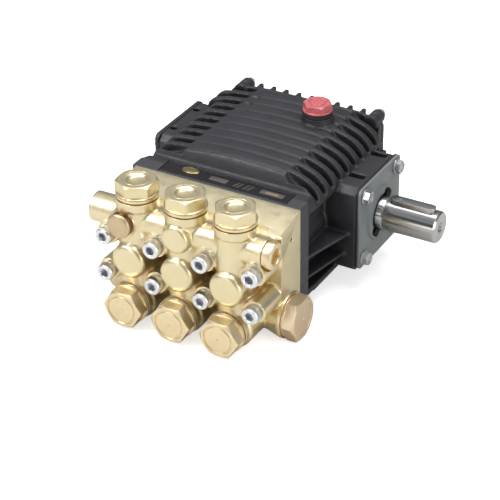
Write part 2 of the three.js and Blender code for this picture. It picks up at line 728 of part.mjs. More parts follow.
// ---- manifold bolts and plugs -----------------------------------------------
function manifoldBolt(at) {
  const head = [
    [0, -146.8], [5.9, -146.8], [6.5, -146.2], [6.5, BOLT_SEAT], [0, BOLT_SEAT],
  ];
  return cut(
    join(turned("y", at, head, 28), bar("y", at, 3.9, BOLT_SEAT - 0.5, -76.4, 14)),
    hexBar("y", at, 6, -148, -142.8, HEX_TURN),
  );
}

function inletPlug() {
  const { centre, x } = INLET;
  return join(
    hexHead("x", centre, 30, x - 1.2, x + 7.4, { turn: HEX_TURN }),
    bar("x", centre, 15.6, x - 3, x - 1),
    bar("x", centre, 11.9, 57, x, 28),
  );
}

function gaugePlug() {
  const head = [
    [0, -149.2], [8.4, -149.2], [9.3, -148.2], [9.3, -144.4], [8.8, GAUGE.face],
    [0, GAUGE.face],
  ];
  return join(
    turned("y", GAUGE.centre, head, 30),
    bar("y", GAUGE.centre, 6.1, -144, -133, 20),
  );
}

function outletPlug() {
  const { centre, x1 } = GALLERY;
  const head = [[0, x1], [9.9, x1], [9.9, 69.4], [9.2, 70.2], [0, 70.2]];
  return cut(
    join(turned("x", centre, head), bar("x", centre, 8.1, x1 - 10, x1 + 1, 28)),
    hexBar("x", centre, 10, 66.6, 72),
  );
}

// ---- assembly ---------------------------------------------------------------
piece("crankcase", crankcase(), "castPaint");
piece("rear_cover", rearCover(), "castPaint");
piece("oil_sight_glass", turned("y", ON_AXIS, shifted(SIGHT_GLASS, CASE_REAR)), "glass");
piece("oil_drain_plug", drainPlug(), "brassTurned");
piece("shaft_side_cover", shaftSideCover(), "plate");
SCREWS.forEach((at, i) => piece(`cover_screw_${i + 1}`, coverScrew(at), "zinc"));
piece("blind_side_cover", blindSideCover(), "castPaint");
piece("shaft_oil_seal", oilSeal(), "rubber");
piece("shaft_side_bearing", bearing(1), "ground");
piece("blind_side_bearing", bearing(-1), "ground");
piece("label_strip", labelStrip(), "label");
piece("oil_cap", oilCap(), "redPlastic");
piece("crankshaft", crankshaft(), "ground");
piece("shaft_key", shaftKey(), "zinc");
CYLINDER_X.forEach(addCylinder);
piece("valve_manifold", valveManifold(), "brassCast");
CYLINDER_X.forEach(addValves);
BOLTS.forEach((at, i) => piece(`manifold_bolt_${i + 1}`, manifoldBolt(at), "zinc"));
piece("inlet_plug", inletPlug(), "brassTurned");
piece("gauge_port_plug", gaugePlug(), "brassTurned");
piece("outlet_plug", outletPlug(), "brassTurned");

export default pump;
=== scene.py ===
"""Pressure washer pump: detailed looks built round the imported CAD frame.

Shapes are made in millimetres about the crank axis, then put in the frame in metres.
The crankshaft runs along X with its drive end at +X and the blind side at -X. The brass
valve manifold is at the front (-Y), the rear cover at +Y, and the feet face down (-Z).
"""

import json
import math
from collections import namedtuple
from contextlib import contextmanager

import bmesh
import bpy
from mathutils import Matrix, Vector


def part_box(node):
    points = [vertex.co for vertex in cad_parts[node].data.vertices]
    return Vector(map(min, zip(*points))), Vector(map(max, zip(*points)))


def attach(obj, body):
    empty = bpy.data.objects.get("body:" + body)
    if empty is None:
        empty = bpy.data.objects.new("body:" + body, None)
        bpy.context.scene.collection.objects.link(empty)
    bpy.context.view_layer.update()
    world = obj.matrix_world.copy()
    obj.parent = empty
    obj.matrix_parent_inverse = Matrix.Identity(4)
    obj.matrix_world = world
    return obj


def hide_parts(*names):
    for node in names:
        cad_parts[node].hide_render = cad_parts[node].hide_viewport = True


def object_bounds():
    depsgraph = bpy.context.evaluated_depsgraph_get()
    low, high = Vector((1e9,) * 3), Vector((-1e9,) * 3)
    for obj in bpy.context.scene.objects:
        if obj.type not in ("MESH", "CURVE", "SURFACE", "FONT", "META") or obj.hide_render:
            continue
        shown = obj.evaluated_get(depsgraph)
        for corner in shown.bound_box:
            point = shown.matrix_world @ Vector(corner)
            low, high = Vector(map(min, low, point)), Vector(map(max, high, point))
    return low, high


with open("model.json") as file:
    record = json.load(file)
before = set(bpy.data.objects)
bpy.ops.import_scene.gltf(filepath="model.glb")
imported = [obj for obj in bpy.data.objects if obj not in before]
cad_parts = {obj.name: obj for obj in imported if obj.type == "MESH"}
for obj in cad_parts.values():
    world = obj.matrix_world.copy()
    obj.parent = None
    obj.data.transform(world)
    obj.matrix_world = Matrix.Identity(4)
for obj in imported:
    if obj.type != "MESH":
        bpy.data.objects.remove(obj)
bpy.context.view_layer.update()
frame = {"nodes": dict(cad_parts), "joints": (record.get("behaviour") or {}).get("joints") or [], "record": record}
SCENE = bpy.context.scene
CRANK = Vector(next(j for j in frame["joints"] if j["name"] == "crank_spin")["pos_m"]) * 1000

Extent = namedtuple("Extent", "x0 x1 y0 y1 z0 z1")


def extent(node):
    """Limits of a CAD node in millimetres about the crank axis."""
    low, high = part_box(node)
    low, high = low * 1000 - CRANK, high * 1000 - CRANK
    return Extent(low.x, high.x, low.y, high.y, low.z, high.z)


def middle(node):
    """Middle (x, y, z) of a CAD node; slices of it give the centre across one axis."""
    e = extent(node)
    return (e.x0 + e.x1) / 2, (e.y0 + e.y1) / 2, (e.z0 + e.z1) / 2


# ---- dimensions read from the frame, named XY, XZ or YZ for centres across an axis --------------
CYLINDER_X = [middle(f"delivery_valve_cap_{n}")[0] for n in (1, 2, 3)]
DELIVERY_Y = middle("delivery_valve_cap_2")[1]
SUCTION_Z = middle("suction_valve_cap_2")[2]
CAP_TOP = extent("delivery_valve_cap_2").z1
CAP_FRONT = extent("suction_valve_cap_2").y0
MANIFOLD_X0 = extent("valve_manifold").x0
CASE = extent("crankcase")
FLANGE_Y, CASE_REAR, FOOT, HOUSING_X = CASE.y0, CASE.y1, CASE.z0, CASE.x1
SHAFT_COVER_HALF = extent("shaft_side_cover").y1
BLIND = extent("blind_side_cover")
SHAFT_END = extent("crankshaft").x1
BOLTS_XZ = [middle(f"manifold_bolt_{n}")[::2] for n in range(1, 9)]
BOLT_HEAD = extent("manifold_bolt_1").y0
SCREWS_YZ = [middle(f"cover_screw_{n}")[1:] for n in range(1, 5)]
GAUGE_XZ = middle("gauge_port_plug")[::2]
GAUGE_FRONT = extent("gauge_port_plug").y0
OUTLET_YZ = middle("outlet_plug")[1:]
OUTLET_END = extent("outlet_plug").x1
INLET_YZ = middle("inlet_plug")[1:]
INLET_END = extent("inlet_plug").x1
OIL_CAP_XY = middle("oil_cap")[:2]
OIL_CAP_TOP = extent("oil_cap").z1
LABEL = extent("label_strip")
KEY = extent("shaft_key")
DRAIN_Z = middle("oil_drain_plug")[2]

# ---- dimensions shared by several pieces --------------------------------------------------------
HALF_WIDTH = 66.5  # crankcase and manifold
FLANGE_TOP = 41.0
COVER_THICK = 3.4  # rim of either bearing cover
PLATE_X = HOUSING_X + COVER_THICK
REAR_SCREW_X = 55.4
REAR_SCREW_Z = (-27.6, 44.8)
BOLT_SEAT = -138.8
AXIS = (0, 0)  # the crank axis, or the sight glass axis seen from behind


# ---- mesh helpers -------------------------------------------------------------------------------
# Outlines are (u, v) across an axis; these put them at a place along it.
PLACE = {
    "x": lambda u, v, along: (along, u, v),
    "y": lambda u, v, along: (u, along, v),
    "z": lambda u, v, along: (u, v, along),
}


def add_object(name, data):
    ob = bpy.data.objects.new(name, data)
    SCENE.collection.objects.link(ob)
    return ob


@contextmanager
def editing(mesh):
    bm = bmesh.new()
    bm.from_mesh(mesh)
    yield bm
    bm.to_mesh(mesh)
    bm.free()


def solid(verts, faces):
    mesh = bpy.data.meshes.new("part")
    with editing(mesh) as bm:
        made = [bm.verts.new(v) for v in verts]
        for face in faces:
            bm.faces.new([made[i] for i in face])
        bm.normal_update()
        if bm.calc_volume(signed=True) < 0:
            bmesh.ops.reverse_faces(bm, faces=bm.faces[:])
    return add_object("part", mesh)


def loft(first, last):
    """Solid between two outlines with the same number of points."""
    n = len(first)
    faces = [list(range(n))[::-1], list(range(n, 2 * n))]
    faces += [[i, (i + 1) % n, n + (i + 1) % n, n + i] for i in range(n)]
    return solid(first + last, faces)


def prism(axis, outline, start, end):
    place = PLACE[axis]
    return loft([place(u, v, start) for u, v in outline], [place(u, v, end) for u, v in outline])


def draft_prism(outline, y, half0, half1, z0, z1):
    """Prism of an (x, z) outline along Y; half its length goes from half0 at z0 to half1 at z1."""

    def half(z):
        return half0 + (half1 - half0) * (z - z0) / (z1 - z0)

    return loft([(x, y - half(z), z) for x, z in outline], [(x, y + half(z), z) for x, z in outline])


def box(x0, x1, y0, y1, z0, z1):
    return prism("z", [(x0, y0), (x1, y0), (x1, y1), (x0, y1)], z0, z1)


def side_box(side, near, far, *limits):
    """Box from near to far out from the middle, on the +X or the -X side."""
    return box(*sorted((near * side, far * side)), *limits)


def mirrored(outline):
    return [(-u, v) for u, v in outline]


def polar(radius, degrees):
    return radius * math.cos(math.radians(degrees)), radius * math.sin(math.radians(degrees))


def rounded(u0, u1, v0, v1, r, n=8):
    """Outline of a rectangle with round corners."""
    out = []
    corners = (u1 - r, v1 - r, 0), (u0 + r, v1 - r, 90), (u0 + r, v0 + r, 180), (u1 - r, v0 + r, 270)
    for u, v, start in corners:
        for k in range(n + 1):
            du, dv = polar(r, start + 90 * k / n)
            out.append((u + du, v + dv))
    return out


def turned(axis, centre, profile, n=96, at=0, shape=None):
    """Turned piece; profile is (radius, position from at).

    It starts and ends on the axis, or closes on itself as a ring. shape(k, radius) may
    change the radius at step k round the axis.
    """
    place = PLACE[axis]
    verts, rings = [], []
    for radius, offset in profile:
        along = at + offset
        if radius < 1e-9:
            rings.append([len(verts)])
            verts.append(place(*centre, along))
            continue
        rings.append(list(range(len(verts), len(verts) + n)))
        for k in range(n):
            angle = 2 * math.pi * k / n
            r = shape(k, radius) if shape else radius
            u, v = centre[0] + r * math.cos(angle), centre[1] + r * math.sin(angle)
            verts.append(place(u, v, along))
    faces = []
    pairs = list(zip(rings, rings[1:]))
    if profile[0][0] > 1e-9:
        pairs.append((rings[-1], rings[0]))
    for a, b in pairs:
        for k in range(n):
            m = (k + 1) % n
            if len(a) == 1:
                faces.append([a[0], b[k], b[m]])
            elif len(b) == 1:
                faces.append([a[k], b[0], a[m]])
            else:
                faces.append([a[k], b[k], b[m], a[m]])
    return solid(verts, faces)


def lathe(axis, centre, outline, n=96, **options):
    """Turned piece with flat ends: the outline is closed onto the axis at both."""
    profile = [(0, outline[0][1]), *outline, (0, outline[-1][1])]
    return turned(axis, centre, profile, n, **options)


def bar(axis, centre, radius, start, end, end_radius=None, n=96):
    end_radius = radius if end_radius is None else end_radius
    return lathe(axis, centre, [(radius, start), (end_radius, end)], n)


def round_nosed(axis, centre, radius, start, end, nose, steps):
    """Bar whose low end is rounded by nose."""
    outline = []
    for k in range(steps + 1):
        t = math.pi / 2 * k / steps
        outline.append((radius - nose + nose * math.sin(t), start + nose - nose * math.cos(t)))
    profile = [(0, start), *outline, (radius, end), (0, end)]
    return turned(axis, centre, profile)


def hexagon(centre, across, turn=0.0):
    R = across / math.sqrt(3)
    angles = [turn + math.pi / 3 * i for i in range(6)]
    return [(centre[0] + R * math.sin(a), centre[1] - R * math.cos(a)) for a in angles]


def bake(ob):
    """Replaces the mesh with its modified one."""
    mesh = bpy.data.meshes.new_from_object(ob.evaluated_get(bpy.context.evaluated_depsgraph_get()))
    old = ob.data
    ob.modifiers.clear()
    ob.data = mesh
    bpy.data.meshes.remove(old)
    return ob


def boole(base, others, operation):
    for other in others:
        m = base.modifiers.new("b", "BOOLEAN")
        m.operation, m.solver, m.object = operation, "MANIFOLD", other
    bake(base)
    for other in others:
        mesh = other.data
        bpy.data.objects.remove(other)
        bpy.data.meshes.remove(mesh)
    return base


def flat(items):
    out = []
    for i in items:
        out += flat(i) if isinstance(i, (list, tuple)) else [i]
    return out


def join(*items):
    items = flat(items)
    return boole(items[0], items[1:], "UNION") if len(items) > 1 else items[0]


def cut(base, *items):
    return boole(base, [join(*items)], "DIFFERENCE")


def bevel(ob, width, segments=3, angle=30):
    m = ob.modifiers.new("v", "BEVEL")
    m.width, m.segments = width, segments
    m.limit_method, m.angle_limit = "ANGLE", math.radians(angle)
    m.use_clamp_overlap = True
    return bake(ob)


def soften(ob, voxel, rounds):
    """Gives a body the soft edges and inside corners of a casting."""
    remesh = ob.modifiers.new("r", "REMESH")
    remesh.mode, remesh.voxel_size, remesh.use_smooth_shade = "VOXEL", voxel, True
    smooth = ob.modifiers.new("s", "SMOOTH")
    smooth.factor, smooth.iterations = 0.5, rounds
    return bake(ob)


def hex_head(axis, centre, across, start, end, low=False, turn=0.0, chamfer=None):
    """Hexagon with its outer end chamfered to a circle; low says the outer end is the low one."""
    R = across / math.sqrt(3)
    chamfer = (R - across / 2) * 0.62 + 0.3 if chamfer is None else chamfer
    inner = across / 2 - 0.35
    if low:
        outline = [(inner, start), (R + 0.3, start + chamfer), (R + 0.3, end - 0.5), (R - 0.3, end)]
    else:
        outline = [(R - 0.3, start), (R + 0.3, start + 0.5), (R + 0.3, end - chamfer), (inner, end)]
    body = prism(axis, hexagon(centre, across, turn), start, end)
    return boole(body, [lathe(axis, centre, outline, 144)], "INTERSECT")


def smooth_curve(points, steps):
    """Catmull-Rom curve through the points, with so many steps between each two."""
    out = []
    n = len(points)
    for i in range(n - 1):
        p0, p1, p2, p3 = points[max(i - 1, 0)], points[i], points[i + 1], points[min(i + 2, n - 1)]
        for j in range(steps):
            t = j / steps
            out.append(
                tuple(
                    0.5
                    * (
                        2 * p1[d]
                        + (p2[d] - p0[d]) * t
                        + (2 * p0[d] - 5 * p1[d] + 4 * p2[d] - p3[d]) * t * t
                        + (3 * p1[d] - p0[d] - 3 * p2[d] + p3[d]) * t**3
                    )
                    for d in (0, 1)
                )
            )
    return out + [tuple(points[-1])]


# ---- materials ----------------------------------------------------------------------------------
WHITE = (1, 1, 1, 1)


def rgb(*channels):
    """Linear colour of an sRGB one given as 0 to 255."""
    parts = [c / 255 for c in channels]
    return (*(c / 12.92 if c <= 0.04045 else ((c + 0.055) / 1.055) ** 2.4 for c in parts), 1)


def tint(colour, factors):
    return tuple(c * k for c, k in zip(colour, factors))


def lighten(colour, gain, lift=0.0):
    return tuple(min(1, c * gain + lift) for c in colour[:3]) + (1,)


class Nodes:
    """Node tree of a material or world, built from nothing. Methods take values or sockets."""

    def __init__(self, owner):
        owner.use_nodes = True
        self.tree = owner.node_tree
        self.tree.nodes.clear()

    def feed(self, node, inputs):
        for key, value in inputs.items():
            if isinstance(value, bpy.types.NodeSocket):
                self.tree.links.new(value, node.inputs[key])
            else:
                node.inputs[key].default_value = value

    def node(self, kind, inputs=None, **props):
        node = self.tree.nodes.new("ShaderNode" + kind)
        for key, value in props.items():
            setattr(node, key, value)
        self.feed(node, inputs or {})
        return node


class Look(Nodes):
    """A principled material; its methods return output sockets."""

    def __init__(self, name):
        self.material = bpy.data.materials.new(name)
        super().__init__(self.material)
        output = self.node("OutputMaterial")
        self.bsdf = self.node("BsdfPrincipled")
        self.feed(output, {"Surface": self.bsdf.outputs["BSDF"]})
        self.place = self.node("TexCoord").outputs["Object"]

    def noise(self, scale, detail, rough=0.55, stretch=None):
        inputs = {"Scale": scale, "Detail": detail, "Roughness": rough}
        texture = self.node("TexNoise", inputs)
        vector = self.place
        if stretch:
            mapping = self.node("Mapping", {"Scale": stretch, "Vector": vector})
            vector = mapping.outputs["Vector"]
        self.feed(texture, {"Vector": vector})
        return texture.outputs["Fac"]

    def ramp(self, value, dark, light, span=(0.3, 0.7)):
        ramp = self.node("ValToRGB", {"Fac": value})
        for element, position, colour in zip(ramp.color_ramp.elements, span, (dark, light)):
            element.position, element.color = position, colour
        return ramp.outputs["Color"]

    def remap(self, value, onto=(0.0, 1.0), span=(0.0, 1.0)):
        inputs = {"From Min": span[0], "From Max": span[1], "To Min": onto[0], "To Max": onto[1]}
        return self.node("MapRange", {**inputs, "Value": value}).outputs["Result"]

    def mix(self, factor, a, b, blend="MIX"):
        """Colour mix: a at factor 0, b at factor 1."""
        inputs = {0: factor, 6: a, 7: b}
        return self.node("Mix", inputs, data_type="RGBA", blend_type=blend).outputs[2]

    def calc(self, operation, a, b, clamp=False):
        node = self.node("Math", {0: a, 1: b}, operation=operation, use_clamp=clamp)
        return node.outputs["Value"]

    def edges(self, radius, gain):
        """1 along sharp edges, 0 on flats: how far the rounded normal leaves the true one."""
        soft = self.node("Bevel", {"Radius": radius}, samples=4).outputs["Normal"]
        true = self.node("NewGeometry").outputs["Normal"]
        dot = self.node("VectorMath", {0: soft, 1: true}, operation="DOT_PRODUCT")
        off = self.calc("SUBTRACT", 1.0, dot.outputs["Value"])
        return self.calc("MULTIPLY", off, gain, clamp=True)

    def openness(self, distance, span):
        """0 deep in a crease, 1 in the open."""
        occlusion = self.node("AmbientOcclusion", {"Distance": distance}, samples=6)
        return self.remap(occlusion.outputs["AO"], span=span)

    def shade_creases(self, colour, distance, span, tone):
        shade = self.mix(self.openness(distance, span), (tone, tone, tone, 1), WHITE)
        return self.mix(1.0, colour, shade, "MULTIPLY")

    def finish(self, colour, rough=None, edge_radius=0.0, bumps=(), metal=0.0):
        """bumps are (height, distance, strength), stacked over a normal rounded at the edges."""
        normal = None
        if edge_radius:
            normal = self.node("Bevel", {"Radius": edge_radius}, samples=4).outputs["Normal"]
        for height, distance, strength in bumps:
            inputs = {"Distance": distance, "Strength": strength, "Height": height}
            normal = self.node("Bump", {**inputs, "Normal": normal}).outputs["Normal"]
        values = {"Normal": normal, "Base Color": colour, "Roughness": rough}
        given = {key: value for key, value in values.items() if value is not None}
        self.feed(self.bsdf, {**given, "Metallic": metal})
        return self.material


def painted(name, dark, light, edge, rough, grain, crease, front=None):
    """Paint worn at the edges; front is (y0, y1, colour) and tints all before y0, in metres."""
    t = Look(name)
    big = t.noise(scale=38, detail=3)
    fine = t.noise(scale=900, detail=5, rough=0.6)
    colour = t.ramp(big, dark, light)
    speck = t.noise(scale=2600, detail=2)
    colour = t.mix(t.remap(speck, onto=(0.0, 0.5), span=(0.62, 0.8)), colour, edge)
    if front:
        y = t.node("SeparateXYZ", {0: t.place}).outputs["Y"]
        colour = t.mix(t.remap(y, onto=(1.0, 0.0), span=front[:2]), colour, front[2])
    colour = t.shade_creases(colour, distance=0.012, span=(0.25, 0.95), tone=crease)
    edges = t.edges(radius=0.0008, gain=1.5)
    patches = t.remap(t.noise(scale=420, detail=4), onto=(0.2, 1.0), span=(0.35, 0.65))
    colour = t.mix(t.calc("MULTIPLY", edges, patches, clamp=True), colour, edge)
    roughness = t.remap(t.noise(scale=160, detail=4), onto=rough, span=(0.3, 0.7))
    bumps = [(fine, grain, 0.7), (t.noise(scale=330, detail=3), 0.00022, 0.35)]
    return t.finish(colour, roughness, edge_radius=0.0005, bumps=bumps)


def brass(name, base, warm, rough, grain=0.00003, crease=0.6375, spots=False, cast_bump=0.0):
    """Brass with painted warm brown shade in its creases; crease is how far that shade goes, cast_bump the depth
    of cast skin.
    """
    t = Look(name)
    patches = t.remap(t.noise(scale=55, detail=4), onto=(0.0, 0.35), span=(0.4, 0.75))
    colour = t.mix(patches, base, warm)
    # painted shade: creases and gaps between parts darken towards a warm brown by ambient occlusion
    painted_crease_shade = t.calc("SUBTRACT", 1.0, t.openness(distance=0.007, span=(0.15, 0.85)))
    painted_crease_shade = t.calc("MULTIPLY", painted_crease_shade, crease, clamp=True)
    colour = t.mix(painted_crease_shade, colour, tint(warm, (1.0, 0.74, 0.42, 1)))
    if spots:
        speck = t.noise(scale=700, detail=3, rough=0.7)
        speck = t.remap(speck, onto=(0.0, 0.5), span=(0.63, 0.8))
        colour = t.mix(speck, colour, tint(warm, (0.7, 0.6, 0.45, 1)))
    colour = t.mix(t.edges(radius=0.0007, gain=2.4), colour, lighten(base, gain=1.12))
    roughness = t.remap(t.noise(scale=240, detail=5), onto=rough, span=(0.3, 0.7))
    bumps = [(t.noise(scale=1500, detail=4, rough=0.65), grain, 0.6)]
    if cast_bump:
        bumps.insert(0, (t.noise(scale=230, detail=3, rough=0.6), cast_bump, 0.5))
    return t.finish(colour, roughness, edge_radius=0.0004, bumps=bumps, metal=1.0)


def steel(name, base, dark, rough, stretch, bump=0.00002):
    t = Look(name)
    lines = t.noise(scale=1, detail=5, rough=0.6, stretch=stretch)
    colour = t.mix(t.remap(lines, onto=(0.0, 0.6), span=(0.35, 0.75)), base, dark)
    colour = t.shade_creases(colour, distance=0.005, span=(0.2, 0.9), tone=0.5)
    colour = t.mix(t.edges(radius=0.0005, gain=2.0), colour, lighten(base, gain=1.15))
    roughness = t.remap(lines, onto=rough, span=(0.3, 0.7))
    bumps = [(lines, bump, 0.6)]
    return t.finish(colour, roughness, edge_radius=0.0003, bumps=bumps, metal=1.0)


def plain(name, dark, light, rough, scale=300, bump=0.00004, coat=0.0, sub=0.0):
    """Moulded, printed or fired stuff; coat and sub weigh the gloss and the glow within."""
    t = Look(name)
    colour = t.ramp(t.noise(scale=scale, detail=4), dark, light, span=(0.35, 0.65))
    wear = t.edges(radius=0.0005, gain=1.6)
    lighter = lighten(light, gain=1.25, lift=0.02)
    colour = t.mix(t.calc("MULTIPLY", wear, 0.6), colour, lighter)
    roughness = t.remap(t.noise(scale=scale * 2.2, detail=3), onto=rough, span=(0.3, 0.7))
    under = {"Weight": sub, "Radius": (0.001, 0.0004, 0.0003), "Scale": 0.5}
    t.feed(t.bsdf, {"Subsurface " + key: value for key, value in under.items()})
    t.feed(t.bsdf, {"Coat Weight": coat})
    bumps = [(t.noise(scale=scale * 5, detail=4), bump, 0.5)]
    return t.finish(colour, roughness, edge_radius=0.0003, bumps=bumps)


def lens_material():
    t = Look("sight_lens")
    t.feed(t.bsdf, {"Transmission Weight": 0.75, "IOR": 1.47})
    colour = t.ramp(t.noise(scale=120, detail=3), rgb(214, 224, 220), rgb(228, 234, 230))
    roughness = t.remap(t.noise(scale=400, detail=3), onto=(0.04, 0.12))
    bumps = [(t.noise(scale=300, detail=2), 0.00002, 0.3)]
    return t.finish(colour, roughness, edge_radius=0.0003, bumps=bumps)


# By slot or look. Colours are (dark, light, edge) for paint, (base, warm) for brass,
# (base, dark) for steel and (dark, light) for the plain ones. Bumps are in metres.
MATERIALS = {
    "black_casting": painted(
        "black_paint", rgb(35, 35, 40), rgb(43, 43, 48), rgb(84, 84, 90), rough=(0.42, 0.6),
        grain=0.00009, crease=0.22, front=(-0.0756, -0.0745, rgb(56, 56, 61)),
    ),
    "cover_plate": painted(
        "grey_paint", rgb(104, 111, 114), rgb(116, 122, 124), rgb(128, 134, 136),
        rough=(0.42, 0.54), grain=0.00003, crease=0.45,
    ),
    "brass_casting": brass(
        "brass_blasted", rgb(228, 217, 183), rgb(219, 200, 155), rough=(0.3, 0.42),
        grain=0.00004, crease=0.612, spots=True, cast_bump=0.0002,
    ),
    "brass_turned": brass(
        "brass_turned", rgb(229, 218, 183), rgb(220, 201, 156), rough=(0.33, 0.43)
    ),
    "copper_turned": brass(
        "brass_pink", rgb(232, 218, 184), rgb(222, 202, 160), rough=(0.32, 0.42)
    ),
    # painted shade: a darker copy of the gauge plug's brass, for the shaded side of the plug
    "plug_dark": brass(
        "brass_shaded_side", rgb(132, 104, 78), rgb(108, 78, 54), rough=(0.36, 0.48), spots=True
    ),
    "plug_turned": brass(
        "brass_dull", rgb(222, 203, 176), rgb(208, 180, 148), rough=(0.34, 0.46), spots=True
    ),
    "gauge_turned": brass(
        "brass_gauge", rgb(204, 186, 156), rgb(188, 164, 130), rough=(0.36, 0.46), spots=True
    ),
    "zinc_dull": steel(
        "zinc_dull", rgb(196, 198, 200), rgb(158, 160, 164), rough=(0.32, 0.44),
        stretch=(900, 900, 900),
    ),
    "zinc_steel": steel(
        "zinc_plate", rgb(232, 235, 242), rgb(200, 205, 216), rough=(0.26, 0.38),
        stretch=(900, 900, 900),
    ),
    "ground_steel": steel(
        "ground_shaft", rgb(182, 183, 184), rgb(152, 153, 155), rough=(0.17, 0.23),
        stretch=(5200, 120, 120), bump=0.000008,
    ),
    "forged_steel": steel(
        "forged", rgb(128, 128, 130), rgb(96, 96, 98), rough=(0.4, 0.55),
        stretch=(320, 320, 320), bump=0.00012,
    ),
    "ceramic": plain(
        "ceramic_white", rgb(236, 233, 224), rgb(244, 241, 234), rough=(0.08, 0.16),
        bump=0.00001, coat=0.4,
    ),
    "bronze": brass(
        "bearing_bronze", rgb(190, 142, 82), rgb(160, 108, 56), rough=(0.3, 0.42), grain=0.00004
    ),
    "black_rubber": plain(
        "nitrile", rgb(24, 24, 25), rgb(34, 34, 35), rough=(0.6, 0.75), scale=500, bump=0.00006
    ),
    "red_plastic": plain(
        "red_moulding", rgb(178, 85, 90), rgb(190, 98, 102), rough=(0.38, 0.48), scale=260,
        bump=0.00003, coat=0.3, sub=0.12,
    ),
    "white_polymer": plain(
        "natural_polymer", rgb(226, 220, 200), rgb(236, 231, 214), rough=(0.4, 0.5), sub=0.1
    ),
    "label_film": plain(
        "label_dark", rgb(11, 8, 12), rgb(17, 13, 18), rough=(0.3, 0.42), scale=120, bump=0.00001
    ),
    "badge": brass(
        "badge_gold", rgb(166, 150, 112), rgb(120, 102, 66), rough=(0.3, 0.4), grain=0.00004
    ),
    "label_grey": plain(
        "label_grey", rgb(72, 68, 65), rgb(85, 79, 74), rough=(0.4, 0.5), scale=700
    ),
    "label_tan": plain(
        "label_tan", rgb(118, 100, 88), rgb(134, 116, 102), rough=(0.4, 0.5), scale=900
    ),
    "clear_lens": lens_material(),
}


# ---- finishing a piece --------------------------------------------------------------------------
MOST_TRIANGLES, THINNED_TRIANGLES = 188000, 186000


def tidy(bm):
    """Drops stray faces and closes any pinhole."""
    stray = [f for f in bm.faces if all(e.is_boundary for e in f.edges)]
    bmesh.ops.delete(bm, geom=stray, context="FACES")
    rim = [e for e in bm.edges if e.is_boundary]
    if rim:
        bmesh.ops.contextual_create(bm, geom=rim)


def piece(
    name, ob, slot, nodes=(), body="pump_body", look=None, origin=(0, 0, 0), angle=35
):
    """Turns a millimetre shape into a finished piece; look is a material other than the slot's."""
    mesh = ob.data
    mesh.name = ob.name = name
    origin = Vector(origin)
    mesh.transform(Matrix.Scale(0.001, 4) @ Matrix.Translation(-origin))
    ob.location = (origin + CRANK) * 0.001
    with editing(mesh) as bm:
        bmesh.ops.remove_doubles(bm, verts=bm.verts, dist=1e-7)
        bmesh.ops.dissolve_degenerate(bm, edges=bm.edges, dist=1e-7)
        loose = [v for v in bm.verts if not v.link_faces]
        bmesh.ops.delete(bm, geom=loose, context="VERTS")
        tidy(bm)
    count = sum(len(p.vertices) - 2 for p in mesh.polygons)
    if count > MOST_TRIANGLES:
        thin = ob.modifiers.new("thin", "DECIMATE")
        thin.ratio = THINNED_TRIANGLES / count
        thin.use_collapse_triangulate = True
        depsgraph = bpy.context.evaluated_depsgraph_get()
        mesh = bpy.data.meshes.new_from_object(ob.evaluated_get(depsgraph))
        ob.modifiers.clear()
        ob.data = mesh
        mesh.name = name
        with editing(mesh) as bm:
            tidy(bm)
    mesh.materials.clear()
    mesh.materials.append(MATERIALS[look or slot])
    mesh.shade_smooth()
    mesh.set_sharp_from_angle(angle=math.radians(angle))
    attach(ob, body)
    if nodes:
        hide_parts(*nodes)


# ---- crankcase ----------------------------------------------------------------------------------
# Crown of the hood from the middle out, as (x, z); the blind one is mirrored to -X.
SHAFT_CROWN = [
    (0, 52.6), (22, 52.2), (38, 51.2), (48, 49), (56, 46), (61, 42.6), (64.6, 38.6),
    (HALF_WIDTH, 33.5),
]
BLIND_CROWN = [
    (0, 52.6), (16, 52.1), (28, 51.2), (40, 49.6), (50, 48.5), (57.5, 47.4), (61.5, 45.4),
    (64.8, 42), (HALF_WIDTH, 37),
]
# Rear and front shoulders of the hood, as (y, z).
REAR_SHOULDER = [(50, 46.4), (48.6, 49), (46, 51), (41, 53.5)]
FRONT_SHOULDER = [(-58.5, 53.5), (-61, 51.6), (-63.2, 48.4), (-66, 42)]
# Floors of the deep side grooves, from the middle out, and of the shallow crown grooves: (x, z).
SHAFT_GROOVE = [
    (40.4, 51), (42.2, 47.2), (45.6, 43.8), (50.4, 40.6), (54.6, 36.8), (57, 32.8),
]
BLIND_GROOVE = [
    (40.4, 49.9), (42, 46), (46.5, 43.2), (53, 41.4), (58, 39.4), (61, 37.2), (62.5, 35.2),
]
CROWN_GROOVE = [
    (-41.5, 48.6), (-30, 50.1), (-15, 51.2), (0, 51.7), (15, 51.4), (30, 50.9), (41.5, 49.9),
]
BLIND_SHOULDER = [(-72, 38.4), (-71, 41), (-68.5, 43.6), (-64, 45.6), (-54, 47)]  # (x, z)
GROOVES_Y = [-61.2 + i * 11.5 for i in range(10)]


def crankcase_hood():
    blind = mirrored(smooth_curve(BLIND_CROWN, 4)[::-1])[:-1]
    feet = [(HALF_WIDTH, FOOT), (-HALF_WIDTH, FOOT)]
    across = blind + smooth_curve(SHAFT_CROWN, 4) + feet
    along = [(CASE_REAR, FOOT), (CASE_REAR, 46.4)] + smooth_curve(REAR_SHOULDER, 3)[1:]
    along += smooth_curve(FRONT_SHOULDER, 3) + [(-66, FOOT)]
    across_body = prism("y", across, -66, CASE_REAR)
    return boole(across_body, [prism("x", along, -68, 68)], "INTERSECT")


def flange_outline(half, corner):
    top = FLANGE_TOP
    return [
        (-half, FOOT), (half, FOOT), (half, top - corner), (half - corner, top),
        (-half + corner, top), (-half, top - corner),
    ]


